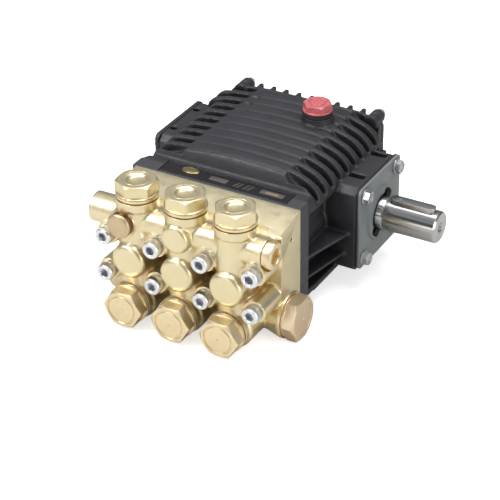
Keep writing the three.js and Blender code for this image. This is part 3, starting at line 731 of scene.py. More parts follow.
def crankcase_grooves():
    deep = [(40.2, 62), *smooth_curve(SHAFT_GROOVE, 3), (76, 32.8), (76, 62)]
    blind = [(40.2, 62), *smooth_curve(BLIND_GROOVE, 3), (76, 35.2), (76, 62)]
    cutters = [
        prism("z", [(61.5, 52), (61.5, 45.5), (63, 44), (70, 44), (70, 52)], 22, 62),
        box(-80, 80, -67.4, -66, 38.6, 60),
    ]
    for y in GROOVES_Y:
        cutters.append(draft_prism(deep, y, 2.6, 3.5, 33.6, 53))
        cutters.append(draft_prism(mirrored(blind), y, 2.5, 3.5, 35.2, 53))
    crown = [(-41.5, 62), *smooth_curve(CROWN_GROOVE, 4), (41.5, 62)]
    for i, y in enumerate(GROOVES_Y):
        cutters.append(draft_prism(crown, y, 0.9, 2.3, 49.5, 52.6))
        if i in (7, 8):
            cutters.append(box(-37.2, -32.2, y - 1.9, y + 1.9, 48.2, 56))
    # recesses in both sides, before and behind the bearing housing
    for side in (-1, 1):
        cutters.append(side_box(side, 56.8, 70, FLANGE_Y + 12.9, -30, -32.5, 29))
        cutters.append(side_box(side, 59.5, 70, 30, 45.5, -32.5, 31))
    return cutters


def crankcase_side(side):
    """Gussets, bearing housing, screw boss and outer cylinder wall of one side."""
    adds = []
    # gussets from the flange back to the bearing housing: z0, z1, front and rear reach
    for z0, z1, front, rear in ((-5.4, -3.2, 66.4, 77.5), (-22.4, -20.2, 66.0, 74.0)):
        outline = [(55.8, -75.6), (front, -75.6), (rear, -31), (55.8, -31)]
        adds.append(prism("z", [(x * side, y) for x, y in outline], z0, z1))
    h, corner, low_corner = 32.8, 5.0, 2.0
    foot = -h - 1.5
    top = h if side > 0 else BLIND.z1
    outline = [
        (-h + low_corner, foot), (h - low_corner, foot), (h, foot + low_corner), (h, top - corner),
        (h - corner, top), (-h + corner, top), (-h, top - corner), (-h, foot + low_corner),
    ]
    limits = (50, HOUSING_X) if side > 0 else (-HOUSING_X, -50)
    adds.append(prism("x", outline, *limits))
    screw = (side * REAR_SCREW_X, REAR_SCREW_Z[1])
    adds.append(bar("y", screw, 5.4, CASE_REAR - 7, CASE_REAR, n=48))
    adds.append(bar("y", (side * CYLINDER_X[2], 0), 19.6, -76, -30, n=64))
    return adds


def crankcase_bores():
    foot_hole = [(0, -1), (4.9, -1), (4.9, 0), (4.0, 0.9), (4.0, 4.6), (0, 5.6)]
    return [
        box(-50, 54, -85.2, -69.4, 40.2, 60),
        box(-52, 52, -29, CASE_REAR + 5, -31, 36),
        [bar("y", (x, 0), 15.35, FLANGE_Y - 2, -20) for x in CYLINDER_X],
        bar("x", AXIS, 26.2, 61.8, HOUSING_X + 2),
        bar("x", AXIS, 26.2, -HOUSING_X - 2, -61.8),
        bar("x", AXIS, 18.5, -70, 70),
        bar("z", OIL_CAP_XY, 7.2, 30, 60, n=64),
        [bar("y", bolt, 4.2, FLANGE_Y - 2, -75.6, n=32) for bolt in BOLTS_XZ],
        [bar("x", screw, 2.7, 71.5, HOUSING_X + 2, n=32) for screw in SCREWS_YZ],
        # tapped holes for the feet
        [turned("z", (x, y), foot_hole, 32, at=FOOT) for x in (-46, 46) for y in (-56, 40)],
    ]


def build_crankcase():
    shoulder = [(-54, 30), (-72, 30), *smooth_curve(BLIND_SHOULDER, 3)]
    body = join(
        crankcase_hood(),
        prism("y", flange_outline(HALF_WIDTH, 1.2), FLANGE_Y, FLANGE_Y + 12.9),
        prism("y", flange_outline(65.9, 2.4), FLANGE_Y + 11, -65),
        prism("y", shoulder, 22.4, 39.6),
    )
    body = cut(body, crankcase_grooves())

    # the joint flange is wider than the manifold on the blind side
    def wide_flange(x, y):
        return [(-60, y), (-x, y), (-x, -76), (-x + 1, -74.5), (-60, -74.5)]

    wedge = [(-60, -75), (-68.8, -75), (-66.6, -69.6), (-60, -69.6)]
    body = join(
        body,
        crankcase_side(-1),
        crankcase_side(1),
        bar("z", OIL_CAP_XY, 12.4, 44, 56.6, 11.6, n=64),
        prism("z", wide_flange(70.4, FLANGE_Y), FOOT, 40.6),
        prism("z", wide_flange(69.8, FLANGE_Y + 0.6), 30, 41),
        prism("z", wedge, 29, 41),
    )
    pockets = [box(66.6, 78.4, y - 2.9, y + 2.9, 27.6, 40) for y in (-12.5, 23.5)]
    pockets += [box(-80.8, -75.8, y - 2.2, y + 2.2, 30.3, 48) for y in (-16.6, 16.6)]
    body = soften(cut(body, pockets), voxel=0.85, rounds=2)
    body = cut(body, crankcase_bores())
    # the oil filler neck is added again with crisp edges
    neck = bar("z", OIL_CAP_XY, 12.3, 49, 56.55, 11.6)
    return join(body, cut(neck, bar("z", OIL_CAP_XY, 7.2, 40, 60, n=64)))


piece("crankcase_casting", build_crankcase(), "black_casting", ["crankcase"], angle=50)

# ---- rear cover, its screws, sight glass and drain plug -----------------------------------------
SIGHT_ORIGIN = (0, CASE_REAR, 0)


def build_rear():
    rear = CASE_REAR
    body = bevel(prism("y", rounded(-61.5, 61.5, -34, 44, 6), rear, rear + 5), 0.8)
    adds = []
    for i in range(-4, 5):
        low = 17 if abs(i) < 2 else -30
        rib = box(i * 10.9 - 1.6, i * 10.9 + 1.6, rear + 0.5, rear + 7.6, low, 48)
        adds.append(bevel(rib, 0.7))
    for side in (-1, 1):
        for z in REAR_SCREW_Z:
            outline = [(5.4, 0), (5.4, 7.2), (4.6, 8)]
            adds.append(lathe("y", (side * REAR_SCREW_X, z), outline, 64, at=rear))
    adds.append(lathe("y", AXIS, [(17.5, 1), (17.5, 7), (16.6, 8)], at=rear))
    adds.append(lathe("y", (0, -24), [(9.5, 1), (9.5, 7.2), (8.8, 8)], 64, at=rear))
    adds.append(box(-4, 4, rear + 1, rear + 6.6, -24, 0))
    body = soften(join(body, adds), voxel=0.7, rounds=2)
    sight_bore = bar("y", AXIS, 12.2, rear - 2, rear + 12)
    return cut(body, sight_bore, bar("y", (0, -24), 5.2, rear - 2, rear + 12, n=48))


piece("rear_cover_casting", build_rear(), "black_casting", ["rear_cover"], angle=50)

rear_screws = [(x, z) for z in REAR_SCREW_Z[::-1] for x in (-REAR_SCREW_X, REAR_SCREW_X)]
for k, (x, z) in enumerate(rear_screws, 1):
    y = CASE_REAR + 8
    head = hex_head("y", (x, z), 7, y + 0.5, y + 3.6, turn=0.2 * k)
    washer = lathe("y", (x, z), [(4.3, 0.02), (4.3, 0.7), (4.1, 0.9)], 64, at=y)
    piece(f"rear_cover_screw_{k}", join(head, washer), "zinc_steel", origin=(x, y, z))

RING_PROFILE = [  # (radius, distance behind the cover face)
    (11.9, 1), (11.9, 8), (14.6, 8), (14.6, 9.9), (14.1, 10.6), (13.2, 11.4), (9.6, 11.4),
    (9.0, 10.9), (8.2, 9.7), (8.2, 1),
]
ring = turned("y", AXIS, RING_PROFILE, 128, at=CASE_REAR)
piece("sight_glass_ring", ring, "clear_lens", look="zinc_steel", origin=SIGHT_ORIGIN)
lens_profile = [(0, 2), (8.0, 2), (8.0, 9.2), (7.0, 9.9), (4, 10.5), (0, 10.7)]
lens = turned("y", AXIS, lens_profile, at=CASE_REAR)
piece("oil_sight_lens", lens, "clear_lens", ["oil_sight_glass"], origin=SIGHT_ORIGIN)
disc = lathe("y", AXIS, [(7.6, 1.0), (7.6, 1.8)], 64, at=CASE_REAR)
piece("sight_glass_back", disc, "white_polymer", origin=SIGHT_ORIGIN)

washer_profile = [(7.8, 8.02), (8, 8.3), (8, 9.1), (7.7, 9.4)]
drain = join(
    hex_head("y", (0, DRAIN_Z), 13, CASE_REAR + 9.2, CASE_REAR + 14.5),
    lathe("y", (0, DRAIN_Z), washer_profile, at=CASE_REAR),
    bar("y", (0, DRAIN_Z), 4.9, CASE_REAR + 1, CASE_REAR + 8.6, n=64),
)
piece("drain_plug", drain, "brass_turned", ["oil_drain_plug"], origin=(0, CASE_REAR, DRAIN_Z))


# ---- bearing covers -----------------------------------------------------------------------------
def shaft_cover_blank(corner, start, end, edge, segments):
    h = SHAFT_COVER_HALF
    return bevel(prism("x", rounded(-h, h, -h, h, corner), start, end), edge, segments)


def shaft_cover_holes():
    return [bar("x", screw, 2.8, HOUSING_X - 2, HOUSING_X + 8, n=32) for screw in SCREWS_YZ]


def build_gasket():
    x = HOUSING_X
    body = shaft_cover_blank(4.4, x, x + 1.58, edge=0.25, segments=2)
    return cut(body, bar("x", AXIS, 17, x - 2, x + 9), shaft_cover_holes())


def build_plate():
    x = HOUSING_X
    body = shaft_cover_blank(4.2, x + 1.6, PLATE_X, edge=0.3, segments=3)
    outline = [
        (21.6, x + 1.62), (21.2, PLATE_X), (20.6, PLATE_X + 0.5), (20.1, x + 4.9), (19.6, x + 5.2),
    ]
    body = join(body, lathe("x", AXIS, outline, 128))
    cuts = [bar("x", AXIS, 14.4, x - 2, x + 9), lathe("x", AXIS, [(14.4, 4.6), (15.2, 6)], at=x)]
    # two notches beside the shaft bore: (distance from the axis, sideways)
    notch = [
        (11.5, -6.5), (16.6, -6.5), (18.0, -5.0), (18.8, 0), (18.0, 5.0), (16.6, 6.5), (11.5, 6.5),
    ]
    for angle in (52, 232):
        c, s = polar(1, angle)
        outline = [(out * c - wide * s, out * s + wide * c) for out, wide in notch]
        cuts.append(prism("x", outline, x + 1, x + 9))
    return cut(body, cuts, shaft_cover_holes())


def build_blind():
    outer, rim, inner, h = BLIND.x0, BLIND.x1 - COVER_THICK, BLIND.x1, BLIND.y1
    body = bevel(prism("x", rounded(-h, h, -h, BLIND.z1, 4.6), rim, inner), 0.5)
    outline = [
        (12, outer + 0.6), (13, outer), (19.2, outer), (20, outer + 0.8), (20.6, rim + 0.1),
        (21.4, rim + 0.5), (21.4, inner - 1),
    ]
    return join(body, lathe("x", AXIS, outline, 128))


piece("bearing_cover_gasket", build_gasket(), "black_rubber", angle=30)
piece("bearing_cover_plate", build_plate(), "cover_plate", ["shaft_side_cover"], angle=30)

for k, screw in enumerate(SCREWS_YZ, 1):
    x = PLATE_X
    washer_profile = [(5.3, 0.02), (5.6, 0.3), (5.5, 0.9), (4.6, 1.3)]
    head = join(
        hex_head("x", screw, 9, x + 1, x + 5.2, turn=0.35 * k),
        lathe("x", screw, washer_profile, 72, at=x),
        bar("x", screw, 2.4, 72, x + 0.6, n=32),
    )
    head = cut(head, lathe("x", screw, [(2.6, 4.7), (3.3, 6)], 48, at=x))
    name = f"cover_hex_screw_{k}"
    piece(name, head, "zinc_steel", [f"cover_screw_{k}"], look="zinc_dull", origin=(x, *screw))

piece("blind_cover", build_blind(), "black_casting", ["blind_side_cover"], angle=30)
for k, screw in enumerate(SCREWS_YZ, 1):
    x, outer = BLIND.x1 - COVER_THICK, BLIND.x0
    outline = [
        (3.0, outer + 0.1), (4.2, outer + 0.5), (4.8, outer + 1.3), (4.9, x - 0.02),
    ]
    head = lathe("x", screw, outline, 64)
    head = cut(head, prism("x", hexagon(screw, 4, 0.3 * k), outer - 1, outer + 1.5))
    piece(f"blind_cover_screw_{k}", head, "zinc_steel", origin=(x, *screw))

# ---- label strip with plain shapes --------------------------------------------------------------
LABEL_Y = (LABEL.y0 + LABEL.y1) / 2
PRINT_Z = LABEL.z1 - 0.2  # foot of the shapes sunk into the plate
BADGE_XY = (LABEL.x0 + 21.4, LABEL_Y + 1.8)


def label_outline(inset, corner):
    return rounded(
        LABEL.x0 + inset, LABEL.x1 - inset, LABEL.y0 + inset, LABEL.y1 - inset, corner, 6
    )


def build_label():
    top = LABEL.z1
    body = bevel(prism("z", label_outline(0, 1.2), LABEL.z0, top - 0.15), 0.12, 2)
    rim = prism("z", label_outline(0.5, 1.0), top - 0.5, top)
    return join(body, cut(rim, prism("z", label_outline(1.1, 0.8), top - 1, top + 1)))


def badge_oval(half_x, half_y, z0, z1, dome, n=64):
    """Oval block at the badge place with a domed top."""
    verts, faces, rings = [], [], []
    rows = (1.0, z0), (1.0, z1 - dome), (0.94, z1 - dome * 0.45), (0.8, z1 - dome * 0.1), (0.5, z1)
    for scale, z in rows:
        rings.append(list(range(len(verts), len(verts) + n)))
        for k in range(n):
            t = 2 * math.pi * k / n
            x = BADGE_XY[0] + half_x * scale * math.cos(t)
            verts.append((x, BADGE_XY[1] + half_y * scale * math.sin(t), z))
    for p, q in zip(rings, rings[1:]):
        faces += [[p[k], p[(k + 1) % n], q[(k + 1) % n], q[k]] for k in range(n)]
    faces += [rings[0][::-1], rings[-1]]
    return solid(verts, faces)


def build_badge():
    top = LABEL.z1
    body = badge_oval(7.0, 4.1, PRINT_Z, top + 0.75, 0.5)
    groove = badge_oval(5.9, 3.1, top + 0.35, top + 2, 0.2)
    return cut(body, cut(groove, badge_oval(5.2, 2.5, PRINT_Z, top + 3, 0.2)))


def add_print(name, outline, height, look, x, y):
    shape = bevel(prism("z", outline, PRINT_Z, LABEL.z1 + height), 0.05, 2)
    piece(name, shape, "label_film", look=look, origin=(x, y, PRINT_Z))


piece("label_plate", build_label(), "label_film", ["label_strip"], angle=30)
badge_origin = (BADGE_XY[0], LABEL_Y, PRINT_Z)
piece("label_badge", build_badge(), "label_film", look="badge", origin=badge_origin)
LABEL_BLOCKS = (  # name, x0, x1 from the label end, y below and above its middle, height, look
    ("a", 38.5, 52.6, 2.6, 2.6, 0.05, "label_grey"),
    ("b", 79.2, 97.6, 2.4, 2.8, 0.05, "label_grey"),
    ("c", 83.4, 93.4, 1.1, 1.4, 0.12, "label_tan"),
)
for name, x0, x1, below, above, height, look in LABEL_BLOCKS:
    x, y = LABEL.x0 + x0, LABEL_Y - below
    outline = rounded(x, LABEL.x0 + x1, y, LABEL_Y + above, 0.8, 5)
    add_print(f"label_block_{name}", outline, height, look, x, y)
for k, offset in enumerate((58.2, 61.2, 66.2, 69.6), 1):
    x = LABEL.x0 + offset
    low, high = LABEL_Y - 3.2, LABEL_Y + 3.2
    slanted = [(x, low), (x + 1.2, low), (x + 3.4, high), (x + 2.2, high)]
    add_print(f"label_bar_{k}", slanted, 0.06, "label_grey", x, LABEL_Y)


# ---- oil filler ---------------------------------------------------------------------------------
def build_oil_cap():
    c, top = OIL_CAP_XY, OIL_CAP_TOP
    body = join(
        hex_head("z", c, 19, 61.0, top, turn=math.radians(42), chamfer=1.3),
        lathe("z", c, [(10.4, 59.7), (10.9, 60.1), (10.9, 60.9), (10.5, 61.3)]),
        lathe("z", c, [(6.3, 46), (6.7, 46.5), (6.7, 60)], 64),
        lathe("z", c, [(0.8, 11), (1.2, 11.5), (1.2, 47)], 24),  # dipstick
    )
    body = cut(body, lathe("z", c, [(6.6, -0.7), (7.1, 0.2), (7.1, 2)], at=top))
    button = [(0, -1.5), (5.0, -1.5), (5.0, -0.45), (4.6, -0.15), (0, -0.1)]
    return join(body, turned("z", c, button, at=top))


COLLAR_PROFILE = [  # (radius, z)
    (6.75, 56.64), (10.6, 56.64), (10.9, 56.9), (10.9, 58.0), (10.3, 58.3), (10.3, 58.7),
    (10.7, 59.0), (10.7, 59.5), (10.5, 59.68), (6.75, 59.68),
]
oil_cap = build_oil_cap()
collar = turned("z", OIL_CAP_XY, COLLAR_PROFILE)
filler = {"body": "oil_filler", "origin": (*OIL_CAP_XY, 57), "angle": 28}
piece("oil_filler_collar", collar, "black_rubber", **filler)
piece("oil_filler_cap", oil_cap, "red_plastic", ["oil_cap"], **filler)

# ---- crankshaft and key -------------------------------------------------------------------------
CRANK_THROW = 5.0
CRANK_PHASES = (0, 120, 240)
BLIND_JOURNAL = [  # (radius, x)
    (11.6, -79.5), (12.4, -78.7), (12.4, -61.8), (15.5, -61.8), (15.5, -51.2), (17, -51.2),
    (17, -47.4),
]
DRIVE_END = [
    (17, 47.4), (17, 51.2), (15.5, 51.2), (15.5, 61.8), (12.4, 61.8), (12.4, 91.6), (12.25, 92.0),
    (12.0, 92.4), (12.0, SHAFT_END - 1.3), (10.8, SHAFT_END),
]


def key_prism(play_x, play_y, z0, z1):
    """Round-ended outline of the key with play all round."""
    x0, x1, y0, y1 = KEY.x0 - play_x, KEY.x1 + play_x, KEY.y0 - play_y, KEY.y1 + play_y
    return prism("z", rounded(x0, x1, y0, y1, (KEY.y1 - KEY.y0) / 2 - 0.05, 12), z0, z1)


def build_crank():
    body = lathe("x", AXIS, BLIND_JOURNAL)
    drive = lathe("x", AXIS, DRIVE_END, 128)
    webs, pins = [], []
    for before, after in zip(CYLINDER_X, CYLINDER_X[1:]):
        a, b = before + 8.3, after - 8.3
        webs.append(lathe("x", AXIS, [(16.4, a), (17, a + 0.6), (17, b - 0.6), (16.4, b)]))
    for x, phase in zip(CYLINDER_X, CRANK_PHASES):
        pins.append(bar("x", polar(CRANK_THROW, phase), 11, x - 8.8, x + 8.8))
    body = join(body, drive, webs, pins)
    drill = [(0, -7), (1.6, -6), (1.6, -3.4), (3.4, -0.5), (4.2, -0.1), (4.4, 1), (0, 1)]
    slot = key_prism(0.05, 0.04, KEY.z0, 22)
    return cut(body, slot, turned("x", AXIS, drill, 64, at=SHAFT_END))


piece("crankshaft_ground", build_crank(), "ground_steel", ["crankshaft"], body="crank", angle=30)
piece(
    "parallel_key", bevel(key_prism(0, 0, KEY.z0, KEY.z1), 0.35, 3, 50), "zinc_steel",
    ["shaft_key"], body="crank", look="ground_steel", origin=(KEY.x0, 0, KEY.z0), angle=30,
)

# ---- brass manifold -----------------------------------------------------------------------------
# Top edge of the slab after machining, as (y, z), and its front slope.
SLAB_TOP = [(FLANGE_Y + 4, FLANGE_TOP), (FLANGE_Y - 3, FLANGE_TOP), (-112.2, 36.7)]


def manifold_blank():
    """Rough body; the sides and top stand proud and are machined back after softening."""
    top = FLANGE_TOP + 1.5
    back, front = FLANGE_Y + 2, -114.4
    roof = [(back, top), (FLANGE_Y - 3, top), (-112.6, 38.4), (front, 37.2)]
    slab_outline = [(back, FOOT), *roof, (front, -35.5), (-113, FOOT)]
    slab = prism("x", slab_outline, -HALF_WIDTH, HALF_WIDTH)
    parts = [prism("x", [(back, -12), *roof, (front, -12)], -68.5, 68.5)]
    for x in CYLINDER_X:
        parts += [
            bar("z", (x, DELIVERY_Y), 14, -36, 40),
            bar("z", (x, DELIVERY_Y), 15.3, 39, 46.4),
            bar("y", (x, SUCTION_Z), 16.5, -137.5, -104),
            bar("y", (x, SUCTION_Z), 15.3, -144, -137),
            round_nosed("y", (x, 0), 13.1, -146.7, -112, nose=3.8, steps=8),
            box(x - 11.5, x + 11.5, -128, -113, -30, 34),
        ]
    parts += [bar("y", bolt, 8.5, -139.6, -112) for bolt in BOLTS_XZ]
    shelf = [(-114.6, 36.6), (-119, 35.2), (-124, 34.4), (-128, 33.4)]
    shelf_end = [(-118.4, 12), (-112, 12), (-112, 37.4), (-114.6, 36.6), (-118.4, 35.4)]
    parts += [
        bar("x", OUTLET_YZ, 11.05, MANIFOLD_X0 - 1, OUTLET_END - 6.0),
        prism("x", [(-128, 12), (-112, 12), (-112, 37.4), *shelf], -61.5, 62.6),
        prism("x", shelf_end, 61, 68.5),
        bar("x", INLET_YZ, 13.7, -HALF_WIDTH, HALF_WIDTH),
        bar("x", INLET_YZ, 13.7, 54, 66.1, 16.9),
        bar("x", INLET_YZ, 16.9, 66.1, 69.4),
        bar("x", INLET_YZ, 16.9, -68.6, -56, 13.7),
        bar("x", INLET_YZ, 16.9, -72.4, -68.6),
        round_nosed("y", (0, 29), 10.5, -146.8, -120, nose=2.6, steps=8),
        bar("y", GAUGE_XZ, 10.2, -144, -120),
    ]
    return join(slab, parts)


def manifold_faces():
    """Cutters for the machined faces."""
    end_top = [*SLAB_TOP, (-120.5, 35.1), (-120.5, 60), (FLANGE_Y + 4, 60)]
    mid_top = [*SLAB_TOP, (-113.2, 36.3), (-113.2, 60), (FLANGE_Y + 4, 60)]
    return [
        box(HALF_WIDTH, 72, -117, FLANGE_Y + 4, -15.5, 60),
        box(-72, -HALF_WIDTH, -117, FLANGE_Y + 4, -15.5, 60),
        prism("x", end_top, -69, -55.6),
        prism("x", mid_top, -55.7, 55.7),
        prism("x", end_top, 55.6, 69),
        box(-80, 80, FLANGE_Y, FLANGE_Y + 6, -60, 60),
        [bar("z", (x, DELIVERY_Y), 19, 45.4, 50) for x in CYLINDER_X],
        [bar("y", (x, SUCTION_Z), 19, -150, -143.2) for x in CYLINDER_X],
        bar("x", OUTLET_YZ, 14, -90, MANIFOLD_X0),
        bar("x", OUTLET_YZ, 11.5, 63.5, 90),
        bar("x", INLET_YZ, 20, -90, MANIFOLD_X0 if MANIFOLD_X0 < -73.6 else -71.6),
        bar("x", INLET_YZ, 20, 68.6, 90),
        bar("y", GAUGE_XZ, 12, -150, -143.4),
    ]


def port(centre, radius, end, way, depth, chamfer):
    """Cutter along X for a port that opens at end towards way (+1 or -1)."""
    outline = [
        (radius + chamfer + 1, way), (radius + chamfer, 0), (radius, -way * chamfer),
        (radius, -way * depth),
    ]
    return lathe("x", centre, outline, at=end)


def manifold_bores():
    bores = []
    for x in CYLINDER_X:
        bores += [
            bar("y", (x, 0), 15.2, -102, FLANGE_Y + 1),
            bar("y", (x, 0), 10.6, -134, -100),
            bar("z", (x, DELIVERY_Y), 6.5, -30, 18, n=64),
            bar("z", (x, DELIVERY_Y), 12, 16, 60),
            bar("y", (x, SUCTION_Z), 12, -150, -116),
            bar("y", (x, SUCTION_Z), 6.5, -117, -104, n=64),
        ]
    bores += [
        bar("x", OUTLET_YZ, 7, -90, 90, n=64),
        port(OUTLET_YZ, 8.4, 63.5, 1, depth=12, chamfer=0.6),
        port(OUTLET_YZ, 8.4, MANIFOLD_X0, -1, depth=12, chamfer=0.9),
        bar("x", INLET_YZ, 9, -90, 90, n=64),
        port(INLET_YZ, 12.2, 68.6, 1, depth=14.6, chamfer=0.5),
        port(INLET_YZ, 12.2, -71.6, -1, depth=17.6, chamfer=1.2),
        bar("y", GAUGE_XZ, 6.4, -150, -131, n=64),
        port((-100, 24), 1.4, HALF_WIDTH, 1, depth=6, chamfer=0.35),
    ]
    # thread turns inside the two open ports
    for centre, r, end in ((OUTLET_YZ, 8.4, MANIFOLD_X0), (INLET_YZ, 12.2, -71.6)):
        for k in range(8):
            start = end + 1.6 + k * 1.35
            thread = [(r - 0.4, 0), (r + 0.55, 0.5), (r - 0.4, 1.0)]
            bores.append(turned("x", centre, thread, at=start))
    return bores + [bar("y", bolt, 4.4, -150, -80, n=48) for bolt in BOLTS_XZ]


manifold = soften(manifold_blank(), voxel=0.82, rounds=4)
manifold = cut(manifold, manifold_faces())
manifold = cut(manifold, manifold_bores())
piece("manifold_casting", manifold, "brass_casting", ["valve_manifold"], angle=42)


# ---- manifold bolts -----------------------------------------------------------------------------
def knurl(k, radius):
    return radius - 0.22 if k % 2 and radius > 6.3 else radius


def build_bolt(k, bolt):
    """Socket screw with a knurled head; each socket is turned a little further."""
    front, seat = BOLT_HEAD, BOLT_SEAT
    outline = [
        (5.5, front), (5.95, front + 0.25), (6.2, front + 0.75), (6.5, front + 1.1),
        (6.5, seat - 0.9), (6.1, seat - 0.45), (6.1, seat),
    ]
    head = lathe("y", bolt, outline, 128, shape=knurl)
    head = join(head, bar("y", bolt, 3.9, seat - 1.0, -76.4, n=48))
    recess = lathe("y", bolt, [(4.6, -1), (3.55, 0.45)], 64, at=front)
    socket = prism("y", hexagon(bolt, 6, math.radians(30) + 0.13 * k), front - 1, front + 4)
    return cut(head, socket, recess)


for k, bolt in enumerate(BOLTS_XZ, 1):
    piece(
        f"socket_screw_{k}", build_bolt(k, bolt), "zinc_steel", [f"manifold_bolt_{k}"],
        origin=(bolt[0], BOLT_HEAD, bolt[1]), angle=28,
    )

# ---- valve caps ---------------------------------------------------------------------------------
DELIVERY_COLLAR = [  # (radius, z)
    (14.9, 46.4), (15.2, 46.7), (15.2, 48.2), (14.5, 48.5), (14.5, 48.9), (15.2, 49.2),
    (15.2, 49.5), (14.6, 49.9),
]
DELIVERY_DISH = [  # (radius, height from the cap top)
    (4.9, -2.0), (5.6, -1.8), (6.3, -1.3), (7.0, -0.55), (7.5, -0.15), (8.2, 0.2), (8.2, 2),
]
SUCTION_COLLAR = [  # (radius, y)
    (14.6, -147.2), (15, -146.9), (15, -145.9), (14.3, -145.6), (14.3, -145.2), (15, -144.9),
    (15, -144.6), (14.8, -144.4),
]
SUCTION_GROOVE = [  # (radius, depth from the cap front)
    (9.7, -1), (9.9, 0.5), (10.3, 0.8), (11.3, 0.8), (11.6, 0.5), (11.7, -1),
]


def build_delivery_cap(centre, turn):
    cap = join(
        hex_head("z", centre, 27, 49.4, CAP_TOP, turn=turn, chamfer=1.5),
        lathe("z", centre, DELIVERY_COLLAR, 128),
        bar("z", centre, 13, 45.42, 47),
        bar("z", centre, 11.7, 37.5, 46),
    )
    ring = [(9.6, -0.22), (10.0, -0.22), (10.2, 1), (9.4, 1)]
    dish = lathe("z", centre, DELIVERY_DISH, at=CAP_TOP)
    return cut(cap, dish, turned("z", centre, ring, at=CAP_TOP))


def build_suction_cap(centre):
    front = CAP_FRONT
    cap = join(
        hex_head("y", centre, 27, front, -146.8, low=True, turn=math.radians(30), chamfer=1.6),
        lathe("y", centre, SUCTION_COLLAR, 128),
        bar("y", centre, 13, -146, -143.22),
        bar("y", centre, 11.7, -144, -139),
    )
    drill = [(0, -1), (1.0, -1), (0.9, 0.3), (0, 0.9)]
    return cut(
        cap,
        turned("y", centre, SUCTION_GROOVE, at=front),
        turned("y", centre, drill, 32, at=front),
        turned("y", centre, [(5.9, -1), (6.0, 0.12), (6.35, 0.12), (6.45, -1)], at=front),
        turned("y", centre, [(2.6, -1), (2.7, 0.1), (3.0, 0.1), (3.1, -1)], 64, at=front),
    )


for n, x in enumerate(CYLINDER_X, 1):
    cap = build_delivery_cap((x, DELIVERY_Y), turn=0.0 if n == 1 else math.radians(30))
    piece(
        f"delivery_cap_{n}", cap, "brass_turned", [f"delivery_valve_cap_{n}"],
        origin=(x, DELIVERY_Y, CAP_TOP), angle=28,
    )
    piece(
        f"suction_cap_{n}", build_suction_cap((x, SUCTION_Z)), "brass_turned",
        [f"suction_valve_cap_{n}"], look="copper_turned", origin=(x, CAP_FRONT, SUCTION_Z),
        angle=28,
    )


# ---- inlet, gauge and outlet plugs --------------------------------------------------------------
def build_inlet_plug():
    c, end = INLET_YZ, INLET_END
    collar = [(15.4, -10.4), (15.6, -10.2), (15.6, -8.7), (15.2, -8.4)]
    plug = join(
        hex_head("x", c, 30, end - 8.6, end, turn=math.radians(30), chamfer=1.7),
        lathe("x", c, collar, 128, at=end),
        bar("x", c, 11.9, 57, end - 7),
    )
    dish = lathe("x", c, [(12.2, -0.35), (12.5, 0.2), (12.5, 2)], at=end)
    return cut(plug, dish, turned("x", c, [(0, -1.3), (1.2, -0.4), (1.2, 1), (0, 1)], 32, at=end))


def build_gauge_plug():
    c, front = GAUGE_XZ, GAUGE_FRONT
    head = [(7.7, 0), (8.5, 0.3), (9.1, 0.9), (9.3, 1.5), (9.3, 1.9)]
    plug = join(
        lathe("y", c, head, 128, at=front),
        bar("y", c, 6.1, front + 1.2, -135.2, n=64),
    )
    groove = [(6.6, -1), (6.7, 0.14), (7.0, 0.14), (7.1, -1)]
    return cut(plug, turned("y", c, groove, at=front))


def build_outlet_plug():
    c, end = OUTLET_YZ, OUTLET_END
    outline = [
        (9.6, 63.52), (9.9, 63.8), (9.9, end - 1.0), (9.6, end - 0.3), (9.0, end),
    ]
    plug = join(lathe("x", c, outline, 128), bar("x", c, 8.1, 53.5, 64.5, n=64))
    socket = prism("x", hexagon(c, 10.6), end - 4.6, end + 2)
    return cut(plug, socket, lathe("x", c, [(6.1, -0.9), (6.9, 1)], 64, at=end))


piece(
    "inlet_hex_plug", build_inlet_plug(), "brass_turned", ["inlet_plug"],
    look="plug_turned", origin=(INLET_END, *INLET_YZ), angle=28,
)
gauge_origin = (GAUGE_XZ[0], GAUGE_FRONT, GAUGE_XZ[1])
piece(
    "gauge_plug", build_gauge_plug(), "brass_turned", ["gauge_port_plug"],
    look="gauge_turned", origin=gauge_origin, angle=28,
)
# the plug's side takes the darker brass as painted shade
ring_profile = [(6.15, 1.93), (9.0, 1.93), (9.28, 2.2), (9.28, 5.2), (8.9, 5.78), (6.15, 5.78)]
ring = turned("y", GAUGE_XZ, ring_profile, 128, at=GAUGE_FRONT)
piece(
    "gauge_plug_ring", ring, "brass_turned", look="plug_dark", origin=gauge_origin, angle=28
)
piece(
    "outlet_socket_plug", build_outlet_plug(), "brass_turned", ["outlet_plug"],
    look="copper_turned", origin=(OUTLET_END, *OUTLET_YZ), angle=28,
)

# ---- CAD nodes that stay: own material, soft edges ----------------------------------------------
slots = {s["node"]: s["material_slot"] for s in frame["record"]["subparts"]}
for name, ob in frame["nodes"].items():
    if ob.hide_render:
        continue
    ob.data.materials.clear()
    ob.data.materials.append(MATERIALS[slots[name]])
    ob.data.shade_smooth()
    weld = ob.modifiers.new("weld", "WELD")
    weld.merge_threshold = 1e-6
    edge = ob.modifiers.new("edge", "BEVEL")
    edge.width, edge.segments = 0.00025, 2
    edge.limit_method, edge.angle_limit = "ANGLE", math.radians(38)
    edge.harden_normals = False
    ob.data.set_sharp_from_angle(angle=math.radians(38))

# ---- valve springs on the poppets' stems --------------------------------------------------------
SPRING_RADIUS = 5.4
SPRING_LENGTH = 7.0
SPRING_START = 3.4  # in from the end of the valve
WIRE_RADIUS_M = 0.00045
SPRING_TURNS, STEPS_PER_TURN = 4.2, 20


